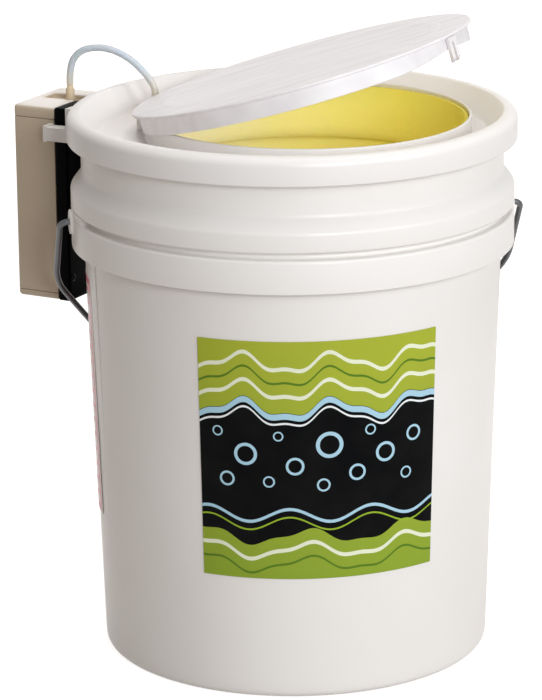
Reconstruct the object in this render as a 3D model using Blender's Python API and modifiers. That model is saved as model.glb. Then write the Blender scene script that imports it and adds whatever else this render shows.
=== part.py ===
"""Insulated bait pail with a hatch lid and a battery air pump.

Metres, +Z up. The pail stands on Z = 0 with its axis on the origin, its two
ears on the X axis and its front label towards -Y.
"""

import math

import bmesh
import bpy
from mathutils import Euler, Vector

# Driving dimensions of the pail
STEPS = 60                    # facets round every large turned piece
GAP = 0.0003                  # clearance between pieces that touch
PAST = 0.002                  # how far a cutter runs past the solid it cuts
PAIL_HEIGHT = 0.3742
PAIL_BASE_RADIUS = 0.1343     # outer wall line continued down to the floor
WALL_TAPER = 0.0314           # growth of the wall's radius per metre of height
PAIL_WALL = 0.0022
PAIL_FLOOR = 0.0025
BASE_CORNER = 0.011
BEAD_REACH = 0.00565          # rolled rim beyond the wall, under the lid
BEAD_HEIGHT = 0.0082
BEAD_ROUND = 0.0020
NECK_WAIST = 0.00085          # neck drawn in from the wall's line
NECK_HEIGHT = 0.0275
RING_REACH = 0.00655          # ring and skirt beyond the wall at the rim
RING_ROUND = 0.0015
SHOULDER_HEIGHT = 0.0095      # slope from the neck out to the ring
RING_HEIGHT = 0.0139
GROOVE_HEIGHT = 0.0045
SKIRT_HEIGHT = 0.0229
SKIRT_WALL = 0.0022
GROOVE_DEPTH = 0.0066

# Ears and bail
EAR_DROP = 0.0036             # bail axis below the skirt's top
EAR_WIDTH = 0.058
EAR_BOSS_RADIUS = 0.0085
EAR_BOSS_REACH = 0.0022       # boss beyond the ear block
WIRE_RADIUS = 0.0021
WIRE_PLAY = 0.0005            # round the wire in the ears and in the grip
BAIL_SIDE_OFFSET = 0.0084     # leg of the wire outside the ear block
BAIL_LEG = 0.068
BAIL_REACH = 0.246            # ear axis to the middle of the grip
BAIL_SHOULDER_RADIUS = 0.060
BAIL_CORNER_RADIUS = 0.012
BAIL_EYE_RADIUS = 0.0058
GRIP_RADIUS = 0.0125
GRIP_LENGTH = 0.110
GRIP_ROUND = 0.0020
GRIP_STANDOFF = 0.0045        # pail's wall to the hanging grip

# Foam lining
FOAM_THICKNESS = 0.0187
FOAM_FLOOR_THICKNESS = 0.0200
LID_FOAM_THICKNESS = 0.0265
LID_FOAM_CLEARANCE = 0.0046   # lid foam to the pail's inner wall

# Lid
LID_WALL = 0.0022
LID_SKIRT_WALL = 0.0025
LID_SKIRT_HEIGHT = 0.0137     # from the pail's rim down
LID_TOP_GAP = 0.0020          # room for the gasket over the rim
LID_EDGE_DROP = 0.0065        # crest to where the rounded edge ends
CREST_INSET = 0.0070          # lid's side to its crest
CREST_RISE = 0.0016           # crest above the wall over the pail's rim
CHANNEL_INSET = 0.0219        # lid's side to the edge of the channel's floor
CHANNEL_DEPTH = 0.0168        # crest to the channel's floor
DISH_FOOT_WIDTH = 0.0024      # bend between the floor and the slope
DISH_FOOT_RISE = 0.0020
DISH_TOP_WIDTH = 0.0039       # bend between the slope and the crest
DISH_TOP_DROP = 0.0020
COLLAR_WALL = 0.0020
COLLAR_HEIGHT = 0.0137
COLLAR_OFFSET = 0.0120        # collar's middle off the lid's, towards the latch
GASKET_INSET = 0.0010
FOAM_UPSTAND_WALL = 0.0027
FOAM_UPSTAND_DROP = 0.0054

# Hatch
HATCH_AZIMUTH = math.radians(-25.5)   # from the hinge towards the latch
HATCH_CLEARANCE = 0.0006      # shut hatch to the edge of the channel's floor
HATCH_OVERHANG = 0.0085       # hatch's edge beyond the collar
HATCH_PLATE = 0.0022
HATCH_ROUND = 0.0010
HATCH_FLANGE = 0.0035         # edge beyond the skirt
HATCH_SKIRT_WALL = 0.0025
HATCH_SKIRT_DEPTH = 0.0120
HATCH_FOAM_CLEARANCE = 0.0025
HATCH_FOAM_THICKNESS = 0.0110
HATCH_REST_ANGLE = math.radians(15.9)
HINGE_DROP = 0.0032           # hinge axis under the hatch's plate
HINGE_PIN_RADIUS = 0.0014
HINGE_BARREL_RADIUS = 0.0027
HINGE_BARREL_LENGTH = 0.0300
HINGE_LUG_WIDTH = 0.0060
HINGE_NOTCH_ANGLE = math.radians(57.0)   # the skirt is left out at the hinge
LATCH_AZIMUTH = math.radians(-12.5)      # round the hatch from the hinge's far side
LATCH_WIDTH = 0.0100
LATCH_THICKNESS = 0.0026
LATCH_SLOT = 0.0030
LATCH_HOOK = 0.0010           # prongs below the channel's floor when shut
CATCH_PLAY = 0.0012           # slot in the lid round the prongs
SKIRT_CUT_LOW = 0.0500        # half width of the skirt's cut at the latch, at its lower edge
SKIRT_CUT_HIGH = 0.0060       # and at its upper edge
SKIRT_CUT_LEFT = 0.0025       # height of skirt left over the cut
THUMB_SLOT_AZIMUTH = math.radians(-25.0)
THUMB_SLOT_WIDTH = 0.0090
THUMB_SLOT_DEPTH = 0.0016

# Air pump, hung on the lid's bracket
PUMP_AZIMUTH = math.radians(143.0)
PUMP_STANDOFF = 0.0075        # lid's side to the pump's back
PUMP_DROP = 0.0099            # pump's top below the lid's crest
PUMP_HEIGHT = 0.1393
CASE_DEPTH = 0.0335
CASE_HALF_WIDTH = 0.0315
CASE_WALL = 0.0020
TOP_CAP_HEIGHT = 0.0085
BOTTOM_CAP_HEIGHT = 0.0048
CAP_FLOOR = 0.0022
COVER_DEPTH = 0.0100
COVER_WALL = 0.0018
COVER_OVERHANG = 0.0005
COVER_ROUND = 0.0015
RECESS_DEPTH = 0.0035
RECESS_HALF_WIDTH = 0.0090
RECESS_Y = -0.0050
RECESS_MARGIN = 0.0070
COVER_RIM = 0.0025
SCREW_RADIUS = 0.0014
SCREW_PLAY = 0.0002
SCREW_HEAD_RADIUS = 0.0026
SCREW_HEAD = 0.0014
SCREW_INSET_Z = 0.0120
POST_SIZE = 0.0042

# Bracket and clip
RAIL_SPACE = 0.0023           # lid's side to the rail
RAIL_THICKNESS = 0.0030
RAIL_HEIGHT = 0.0090
RAIL_TOP_DROP = 0.0120        # rail's top below the pump's top
ARM_WIDTH = 0.0097
ARM_CLEARANCE = 0.0015
ARM_REACH = 0.0195            # arm's end outside the lid's side
PAD_REACH = 0.0010            # pad's face outside the lid's side
PAD_SCREW_SHARE = 0.55        # screw's height up the pad
PAD_HEIGHT = 0.0150
CLIP_WIDTH = 0.024
CLIP_THICKNESS = 0.0012
CLIP_TONGUE = 0.018
CLIP_PLATE = 0.040

# Air line
NIPPLE_INSET = 0.0190         # pump's back to the nipple
NIPPLE_Y = -0.0060
NIPPLE_RADIUS = 0.0035
NIPPLE_TIP_RADIUS = 0.0021
NIPPLE_HEIGHT = 0.0120
NIPPLE_BORE_RADIUS = 0.0009
NIPPLE_COLLAR = 0.0020
SPIGOT_LENGTH = 0.0020        # below the pump's cap
SPIGOT_RADIUS = 0.0022
HOSE_RADIUS = 0.0025
FITTING_AZIMUTH = math.radians(134.5)
FITTING_INSET = 0.0131        # channel's side to the fitting
FITTING_RADIUS = 0.0031
FITTING_FLANGE_RADIUS = 0.0042
FITTING_FLANGE = 0.0015
FITTING_RISE = 0.0106
FITTING_DROP = 0.0090
FITTING_BORE_RADIUS = 0.0012
FITTING_LEAD = 0.0030          # tapered end of the fitting
STONE_RADIUS = 0.0065
STONE_LENGTH = 0.0260
STONE_NUB = 0.0040
STONE_ROUND = 0.0010
STONE_INSET = 0.0041          # foam wall to the stone
STONE_CLEARANCE = 0.0008
INNER_HOSE_DROP = 0.030
INNER_HOSE = (                # shares of the way in and of the way down
    (0.0625, 0.208), (0.25, 0.375), (0.50, 0.543), (0.75, 0.710), (0.94, 0.861))

# Inside the pump
CELL_RADIUS = 0.0163
CELL_LENGTH = 0.0615
CELL_NUB_RADIUS = 0.0045
CELL_NUB = 0.0014
CONTACT_THICKNESS = 0.0010
CONTACT_SIZE = 0.0200
MOTOR_RADIUS = 0.0108
MOTOR_LENGTH = 0.0280
SHAFT_RADIUS = 0.0010
CHASSIS_THICKNESS = 0.0020
ECCENTRIC_RADIUS = 0.0045
ECCENTRIC_THROW = 0.0012
CRANK_RADIUS = 0.0008
CRANK_TO_PIVOT = 0.0140
WINDOW_WALL = 0.0015
WHEEL_THICKNESS = 0.0030
WHEEL_GAP = 0.0010
SHAFT_DEPTH = 0.0050
SHOULDER_RADIUS = 0.0028
POST_RADIUS = 0.0014
LEVER_THICKNESS = 0.0028
LEVER_WIDTH = 0.0050
LEVER_SWING = math.radians(3.0)
DIAPHRAGM_RADIUS = 0.0048
DIAPHRAGM_THICKNESS = 0.0022
VALVE_HEIGHT = 0.0300
TUBE_RADIUS = 0.0018

# Switch
SWITCH_INSET = 0.0062         # pump's back to the switch
SWITCH_Y = -0.0075
SWITCH_PLATE_LENGTH = 0.0120
SWITCH_PLATE_WIDTH = 0.0056
SWITCH_PLATE_THICKNESS = 0.0006
SWITCH_TRAVEL = 0.0040
SWITCH_KNOB = 0.0034
SWITCH_KNOB_HEIGHT = 0.0022
SWITCH_STEM = 0.0018

# Labels
LABEL_THICKNESS = 0.0005
LABEL_STEPS = 24
LABEL_BOTTOM = 0.0870
FRONT_LABEL_DROP = 0.0342     # skirt to the label's upper edge
FRONT_LABEL_SWEEP = math.radians(68.0)
FRONT_LABEL_AZIMUTH = math.radians(-91.5)
SIDE_LABEL_DROP = 0.0182
SIDE_LABEL_SWEEP = math.radians(28.0)
SIDE_LABEL_AZIMUTH = math.radians(171.0)
SIDE_LABEL_RISE = 0.0125

# Levels and radii that follow from the sizes above
RIM_RADIUS = PAIL_BASE_RADIUS + WALL_TAPER * PAIL_HEIGHT
BEAD_RADIUS = RIM_RADIUS + BEAD_REACH
NECK_RADIUS = RIM_RADIUS - NECK_WAIST
RING_RADIUS = RIM_RADIUS + RING_REACH
BEAD_BOTTOM = PAIL_HEIGHT - BEAD_HEIGHT
NECK_BOTTOM = BEAD_BOTTOM - NECK_HEIGHT
RING_TOP = NECK_BOTTOM - SHOULDER_HEIGHT
RING_BOTTOM = RING_TOP - RING_HEIGHT
SKIRT_TOP = RING_BOTTOM - GROOVE_HEIGHT
SKIRT_BOTTOM = SKIRT_TOP - SKIRT_HEIGHT
GROOVE_RADIUS = RING_RADIUS - GROOVE_DEPTH
EAR_AXIS = SKIRT_TOP - EAR_DROP

LID_RADIUS = BEAD_RADIUS + GAP + LID_SKIRT_WALL
CREST_RADIUS = LID_RADIUS - CREST_INSET
CHANNEL_RADIUS = LID_RADIUS - CHANNEL_INSET
HATCH_RADIUS = CHANNEL_RADIUS - HATCH_CLEARANCE - COLLAR_OFFSET
HATCH_SKIRT_RADIUS = HATCH_RADIUS - HATCH_FLANGE
COLLAR_RADIUS = HATCH_RADIUS - HATCH_OVERHANG
LID_UNDER = PAIL_HEIGHT + LID_TOP_GAP
CREST = LID_UNDER + LID_WALL + CREST_RISE
CHANNEL_FLOOR = CREST - CHANNEL_DEPTH
CHANNEL_UNDER = CHANNEL_FLOOR - LID_WALL
COLLAR_TOP = CHANNEL_FLOOR + COLLAR_HEIGHT
LID_FOAM_TOP = CHANNEL_UNDER - GAP
LID_FOAM_BOTTOM = LID_FOAM_TOP - LID_FOAM_THICKNESS
FOAM_FLOOR_TOP = PAIL_FLOOR + GAP + FOAM_FLOOR_THICKNESS
COLLAR_BORE = COLLAR_RADIUS - COLLAR_WALL
FOAM_UPSTAND_RADIUS = COLLAR_BORE - GAP
FOAM_BORE = FOAM_UPSTAND_RADIUS - FOAM_UPSTAND_WALL
HATCH_FOAM_RADIUS = FOAM_BORE - HATCH_FOAM_CLEARANCE
HATCH_UNDER = COLLAR_TOP + GAP
HINGE_HEIGHT = HATCH_UNDER - HINGE_DROP
HINGE_REACH = COLLAR_RADIUS + HINGE_BARREL_RADIUS + GAP * 2   # from the hatch's middle
HINGE_DISTANCE = HINGE_REACH - COLLAR_OFFSET
FITTING_DISTANCE = CHANNEL_RADIUS - FITTING_INSET

PUMP_TOP = CREST - PUMP_DROP
PUMP_BOTTOM = PUMP_TOP - PUMP_HEIGHT
PUMP_BACK = LID_RADIUS + PUMP_STANDOFF
SEAM_X = PUMP_BACK + COVER_DEPTH
CASE_X = SEAM_X + CASE_DEPTH
RECESS_FLOOR = PUMP_TOP - RECESS_DEPTH
CAP_ROOF = RECESS_FLOOR - CAP_FLOOR
CASE_TOP = PUMP_TOP - TOP_CAP_HEIGHT
CASE_BOTTOM = PUMP_BOTTOM + BOTTOM_CAP_HEIGHT
RAIL_TOP = PUMP_TOP - RAIL_TOP_DROP
NIPPLE_X = PUMP_BACK + NIPPLE_INSET
SWITCH_X = PUMP_BACK + SWITCH_INSET

# Colour, roughness, metallic
WHITE = (0.86, 0.84, 0.82, 1.0)
PAPER = (0.05, 0.05, 0.05, 1.0)
RED = (0.80, 0.12, 0.20, 1.0)
FOAM = (0.86, 0.76, 0.38, 1.0)
BEIGE = (0.66, 0.58, 0.49, 1.0)
BLACK = (0.03, 0.03, 0.03, 1.0)
IVORY = (0.80, 0.66, 0.46, 1.0)
STEEL = (0.55, 0.55, 0.56, 1.0)
RUBBER = (0.05, 0.05, 0.05, 1.0)
HOSE = (0.70, 0.76, 0.80, 1.0)
STONE = (0.35, 0.45, 0.60, 1.0)


def wall_radius(height):
    """Outer radius of the pail's tapered wall at a height."""
    return PAIL_BASE_RADIUS + WALL_TAPER * height


def collection(name):
    """A new collection in the scene."""
    made = bpy.data.collections.new(name)
    bpy.context.scene.collection.children.link(made)
    return made


def material_for(name, colour, roughness, metallic):
    """The Principled material of one sub-part."""
    material = bpy.data.materials.new(name)
    material.use_nodes = True
    shader = material.node_tree.nodes["Principled BSDF"]
    shader.inputs["Base Color"].default_value = colour
    shader.inputs["Roughness"].default_value = roughness
    shader.inputs["Metallic"].default_value = metallic
    material.diffuse_color = colour
    return material


def mesh_object(name, work):
    """A new object from a bmesh, which is freed."""
    mesh = bpy.data.meshes.new(name)
    work.to_mesh(mesh)
    work.free()
    return bpy.data.objects.new(name, mesh)


def turned(name, profile, steps=STEPS, closed=False):
    """A profile of (radius, height) points turned round Z."""
    work = bmesh.new()
    points = [work.verts.new((radius, 0.0, height)) for radius, height in profile]
    for first, second in zip(points, points[1:]):
        work.edges.new((first, second))
    if closed:
        work.edges.new((points[-1], points[0]))
    made = mesh_object(name, work)
    PARTS.objects.link(made)
    screw = made.modifiers.new("Turn", "SCREW")
    screw.axis = "Z"
    screw.steps = steps
    screw.render_steps = steps
    screw.use_merge_vertices = True
    screw.merge_threshold = 0.00001
    screw.use_smooth_shade = True
    return made


def ring(name, inner, outer, bottom, top, steps=STEPS):
    """A plain turned ring."""
    profile = [(outer, top), (outer, bottom), (inner, bottom), (inner, top)]
    return turned(name, profile, steps, closed=True)


def disc(name, radius, bottom, top, steps=STEPS):
    """A plain turned disc."""
    return turned(name, [(0.0, top), (radius, top), (radius, bottom), (0.0, bottom)], steps)


def block(name, low, high):
    """A box between two corners."""
    work = bmesh.new()
    bmesh.ops.create_cube(work, size=1.0)
    low, high = Vector(low), Vector(high)
    bmesh.ops.scale(work, vec=high - low, verts=work.verts)
    made = mesh_object(name, work)
    PARTS.objects.link(made)
    made.location = (low + high) / 2
    return made


def rod(name, radius, start, end, sides=24):
    """A cylinder from one point to another."""
    start, end = Vector(start), Vector(end)
    work = bmesh.new()
    bmesh.ops.create_cone(
        work, cap_ends=True, segments=sides, radius1=radius, radius2=radius,
        depth=(end - start).length)
    made = mesh_object(name, work)
    PARTS.objects.link(made)
    made.location = (start + end) / 2
    made.rotation_euler = (end - start).to_track_quat("Z", "Y").to_euler()
    return made


def soften(made, width, segments=2):
    """Rounded edges."""
    bevel = made.modifiers.new("Round", "BEVEL")
    bevel.width = width
    bevel.segments = segments
    bevel.limit_method = "ANGLE"
    bevel.angle_limit = math.radians(40.0)
    return made


def combine(made, other, operation):
    """A Boolean with a helper solid, which leaves the parts."""
    boolean = made.modifiers.new(operation.title(), "BOOLEAN")
    boolean.operation = operation
    boolean.solver = "EXACT"
    boolean.object = other
    PARTS.objects.unlink(other)
    CUTTERS.objects.link(other)
    other.name = made.name + "_helper"
    other.hide_render = True
    other.display_type = "WIRE"
    return made


def cut(made, *others):
    """Helper solids taken away from a part."""
    for other in others:
        combine(made, other, "DIFFERENCE")
    return made


def join(made, *others):
    """Helper solids united with a part."""
    for other in others:
        combine(made, other, "UNION")
    return made


def dress(made, colour, roughness=0.5, metallic=0.0, parent=None):
    """The part's material and its parent."""
    material = material_for(made.name, colour, roughness, metallic)
    made.data.materials.clear()
    made.data.materials.append(material)
    if parent:
        made.parent = parent
        for modifier in made.modifiers:
            if modifier.type == "BOOLEAN":
                adopt(modifier.object, parent)
    return made


def adopt(helper, parent):
    """A helper, and its own helpers, under the same parent."""
    helper.parent = parent
    for modifier in helper.modifiers:
        if modifier.type == "BOOLEAN":
            adopt(modifier.object, parent)


def axes(name, location, rotation, parent=None):
    """An empty that carries the pieces of one group."""
    made = bpy.data.objects.new(name, None)
    PARTS.objects.link(made)
    made.empty_display_size = 0.02
    made.location = location
    made.rotation_euler = rotation
    made.parent = parent
    return made


def tube(name, points, radius, resolution=2):
    """A filled round tube along a list of points."""
    curve = bpy.data.curves.new(name, "CURVE")
    curve.dimensions = "3D"
    curve.bevel_depth = radius
    curve.bevel_resolution = resolution
    curve.use_fill_caps = True
    spline = curve.splines.new("POLY")
    spline.points.add(len(points) - 1)
    for spot, point in zip(spline.points, points):
        spot.co = (*point, 1.0)
    made = bpy.data.objects.new(name, curve)
    PARTS.objects.link(made)
    return made


def smooth_route(route, count):
    """Evenly spaced points on one smooth curve through a route."""
    knots = [Vector(point) for point in route]
    ends = [knots[0] * 2 - knots[1]] + knots + [knots[-1] * 2 - knots[-2]]
    fine = []
    for a, b, c, d in zip(ends, ends[1:], ends[2:], ends[3:]):
        for step in range(12):
            t = step / 12
            fine.append(0.5 * (2 * b + (c - a) * t + (2 * a - 5 * b + 4 * c - d) * t * t
                               + (3 * b - a - 3 * c + d) * t ** 3))
    fine.append(knots[-1])
    lengths = [0.0]
    for first, second in zip(fine, fine[1:]):
        lengths.append(lengths[-1] + (second - first).length)
    spots = []
    index = 0
    for number in range(count):
        target = lengths[-1] * number / (count - 1)
        while index < len(lengths) - 2 and lengths[index + 1] < target:
            index += 1
        share = (target - lengths[index]) / (lengths[index + 1] - lengths[index])
        spots.append(fine[index].lerp(fine[index + 1], share))
    return spots


def fillet(corner, before, after, radius, count=5):
    """Points of an arc that rounds the corner between two straight runs."""
    corner, before, after = Vector(corner), Vector(before), Vector(after)
    towards = (before - corner).normalized()
    away = (after - corner).normalized()
    half = towards.angle(away) / 2
    centre = corner + (towards + away).normalized() * radius / math.sin(half)
    start = corner + towards * radius / math.tan(half) - centre
    end = corner + away * radius / math.tan(half) - centre
    sweep = start.angle(end)
    spots = []
    for number in range(count + 1):
        share = number / count
        spots.append(centre + (start * math.sin((1 - share) * sweep)
                               + end * math.sin(share * sweep)) / math.sin(sweep))
    return spots


def make_pail():
    """The pail: tapered wall, rim bead, neck, ring, open skirt and two ears."""
    corner_centre = wall_radius(BASE_CORNER) - BASE_CORNER
    inner_radius = BASE_CORNER - PAIL_FLOOR
    inner = [(0.0, PAIL_FLOOR), (corner_centre, PAIL_FLOOR)]
    for degrees in (60, 30):
        angle = math.radians(degrees)
        inner.append((corner_centre + inner_radius * math.cos(angle),
                      BASE_CORNER - inner_radius * math.sin(angle)))
    inner += [
        (wall_radius(BASE_CORNER) - PAIL_WALL, BASE_CORNER),
        (wall_radius(PAIL_HEIGHT) - PAIL_WALL, PAIL_HEIGHT),
    ]
    rim = [
        (BEAD_RADIUS - BEAD_ROUND, PAIL_HEIGHT),
        (BEAD_RADIUS, PAIL_HEIGHT - BEAD_ROUND),
        (BEAD_RADIUS, BEAD_BOTTOM),
        (NECK_RADIUS, BEAD_BOTTOM),
        (NECK_RADIUS, NECK_BOTTOM),
    ]
    rings = [
        (RING_RADIUS - RING_ROUND, RING_TOP + RING_ROUND),
        (RING_RADIUS, RING_TOP - RING_ROUND),
        (RING_RADIUS, RING_BOTTOM + RING_ROUND),
        (RING_RADIUS - RING_ROUND, RING_BOTTOM),
        (GROOVE_RADIUS, RING_BOTTOM),
        (GROOVE_RADIUS, SKIRT_TOP),
        (RING_RADIUS - RING_ROUND, SKIRT_TOP),
        (RING_RADIUS, SKIRT_TOP - RING_ROUND),
        (RING_RADIUS, SKIRT_BOTTOM),
        (RING_RADIUS - SKIRT_WALL, SKIRT_BOTTOM),
        (RING_RADIUS - SKIRT_WALL, SKIRT_TOP - SKIRT_WALL),
        (wall_radius(SKIRT_TOP - SKIRT_WALL), SKIRT_TOP - SKIRT_WALL),
    ]
    base = []
    for degrees in (0, 22.5, 45, 67.5, 90):
        angle = math.radians(degrees)
        base.append((corner_centre + BASE_CORNER * math.cos(angle),
                     BASE_CORNER - BASE_CORNER * math.sin(angle)))
    pail = turned("pail_shell", inner + rim + rings + base + [(0.0, 0.0)])

    # The ear blocks fill the groove and the skirt on both sides.
    ears = ring("ears", wall_radius(SKIRT_TOP) - PAIL_WALL / 2, RING_RADIUS + GAP,
                SKIRT_BOTTOM - GAP, RING_BOTTOM + RING_HEIGHT / 4)
    span = RING_RADIUS * 2
    keep = block("keep", (-span, -EAR_WIDTH / 2, 0.0), (span, EAR_WIDTH / 2, PAIL_HEIGHT))
    join(pail, combine(ears, keep, "INTERSECT"))
    face = RING_RADIUS + EAR_BOSS_REACH
    depth = wall_radius(EAR_AXIS) + WIRE_RADIUS
    for side in (-1, 1):
        join(pail, rod("boss", EAR_BOSS_RADIUS, (side * depth, 0, EAR_AXIS),
                       (side * face, 0, EAR_AXIS)))
        cut(pail, rod("hole", WIRE_RADIUS + WIRE_PLAY, (side * depth, 0, EAR_AXIS),
                      (side * (face + WIRE_RADIUS), 0, EAR_AXIS), 16))
    dress(pail, WHITE, 0.35)


def make_labels():
    """Thin curved panels on the pail's wall."""
    side_bottom = LABEL_BOTTOM + SIDE_LABEL_RISE
    sheets = (
        ("front_label", FRONT_LABEL_AZIMUTH, FRONT_LABEL_SWEEP, LABEL_BOTTOM,
         SKIRT_BOTTOM - FRONT_LABEL_DROP, PAPER),
        ("side_label", SIDE_LABEL_AZIMUTH, SIDE_LABEL_SWEEP, side_bottom,
         SKIRT_BOTTOM - SIDE_LABEL_DROP, RED),
    )
    for name, azimuth, sweep, bottom, top, colour in sheets:
        low, high = wall_radius(bottom) + GAP, wall_radius(top) + GAP
        corners = ((high + LABEL_THICKNESS, top), (low + LABEL_THICKNESS, bottom),
                   (low, bottom), (high, top))
        work = bmesh.new()
        rows = []
        for number in range(LABEL_STEPS + 1):
            angle = azimuth + sweep * (number / LABEL_STEPS - 0.5)
            rows.append([work.verts.new((radius * math.cos(angle), radius * math.sin(angle), height))
                         for radius, height in corners])
        for first, second in zip(rows, rows[1:]):
            for here, after in ((0, 1), (1, 2), (2, 3), (3, 0)):
                work.faces.new((first[here], first[after], second[after], second[here]))
        work.faces.new(rows[0])
        work.faces.new(reversed(rows[-1]))
        bmesh.ops.recalc_face_normals(work, faces=work.faces)
        sheet = mesh_object(name, work)
        PARTS.objects.link(sheet)
        dress(sheet, colour, 0.5)


def axes_rotation(azimuth):
    """A turn about Z."""
    return Euler((0.0, 0.0, azimuth))


def make_foam():
    """The foam floor and wall inside the pail."""
    radius = wall_radius(BASE_CORNER) - PAIL_WALL - GAP
    base = turned("foam_floor", [
        (0.0, FOAM_FLOOR_TOP), (radius, FOAM_FLOOR_TOP), (radius, BASE_CORNER + GAP),
        (wall_radius(BASE_CORNER) - BASE_CORNER, PAIL_FLOOR + GAP), (0.0, PAIL_FLOOR + GAP)])
    dress(base, FOAM, 0.9)
    bottom = FOAM_FLOOR_TOP + GAP
    top = LID_FOAM_BOTTOM - GAP
    low = wall_radius(bottom) - PAIL_WALL - GAP
    high = wall_radius(top) - PAIL_WALL - GAP
    wall = turned("foam_wall", [(high, top), (low, bottom), (low - FOAM_THICKNESS, bottom),
                                (high - FOAM_THICKNESS, top)], closed=True)
    dress(wall, FOAM, 0.9)


def bail_path():
    """The wire from one ear to the other, in the plane of the hanging bail."""
    leg = RING_RADIUS + BAIL_SIDE_OFFSET
    tip = wall_radius(EAR_AXIS) + WIRE_RADIUS + GAP
    grip_end = GRIP_LENGTH / 2 + WIRE_RADIUS
    turn = math.atan2(BAIL_REACH - BAIL_LEG, leg - grip_end - BAIL_CORNER_RADIUS)
    eye = (tip, 0.0, 0.0)
    elbow = (leg, 0.0, 0.0)
    shoulder = (leg, 0.0, -BAIL_LEG)
    corner = (grip_end + BAIL_CORNER_RADIUS * math.tan(turn / 2), 0.0, -BAIL_REACH)
    middle = (0.0, 0.0, -BAIL_REACH)
    half = [Vector(eye)]
    half += fillet(elbow, eye, shoulder, BAIL_EYE_RADIUS, 4)
    half += fillet(shoulder, elbow, corner, BAIL_SHOULDER_RADIUS, 4)
    half += fillet(corner, shoulder, middle, BAIL_CORNER_RADIUS, 5)
    mirrored = [Vector((-point.x, point.y, point.z)) for point in reversed(half)]
    return half + mirrored


def bail_angle():
    """Hanging angle that leaves the grip just off the pail's wall."""
    gap = GRIP_RADIUS + GRIP_STANDOFF
    reach = BAIL_REACH * math.hypot(1.0, WALL_TAPER)
    rest = math.asin((wall_radius(EAR_AXIS) + gap) / reach)
    return rest - math.atan(WALL_TAPER)


def make_bail():
    """The wire bail in the ears, with its turning grip."""
    hang = axes("bail_axis", (0.0, 0.0, EAR_AXIS), (bail_angle(), 0.0, 0.0))
    wire = tube("bail_wire", bail_path(), WIRE_RADIUS)
    dress(wire, STEEL, 0.35, 1.0, hang)
    half = GRIP_LENGTH / 2
    bore = WIRE_RADIUS + WIRE_PLAY
    grip = turned("bail_grip", [
        (GRIP_RADIUS - GRIP_ROUND, half), (GRIP_RADIUS, half - GRIP_ROUND),
        (GRIP_RADIUS, -half + GRIP_ROUND), (GRIP_RADIUS - GRIP_ROUND, -half),
        (bore, -half), (bore, half)], 24, closed=True)
    grip.location = (0.0, 0.0, -BAIL_REACH)
    grip.rotation_euler = (0.0, math.radians(90.0), 0.0)
    dress(grip, WHITE, 0.4, 0.0, hang)


def collar_centre():
    """Middle of the collar, off the lid's axis towards the latch."""
    centre = Vector((COLLAR_OFFSET, 0.0, 0.0))
    centre.rotate(axes_rotation(HATCH_AZIMUTH))
    return centre


def catch_slot(bottom, top):
    """Cutter of the slot in the lid that the latch's prongs enter."""
    near = HATCH_SKIRT_RADIUS + GAP - CATCH_PLAY
    wide = LATCH_WIDTH / 2 + CATCH_PLAY
    slot = block("catch", (near, -wide, bottom),
                 (near + LATCH_THICKNESS + CATCH_PLAY * 2, wide, top))
    middle = slot.location.copy()
    middle.rotate(axes_rotation(HATCH_AZIMUTH + LATCH_AZIMUTH))
    slot.location = middle + collar_centre()
    slot.rotation_euler = (0.0, 0.0, HATCH_AZIMUTH + LATCH_AZIMUTH)
    return slot


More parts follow.
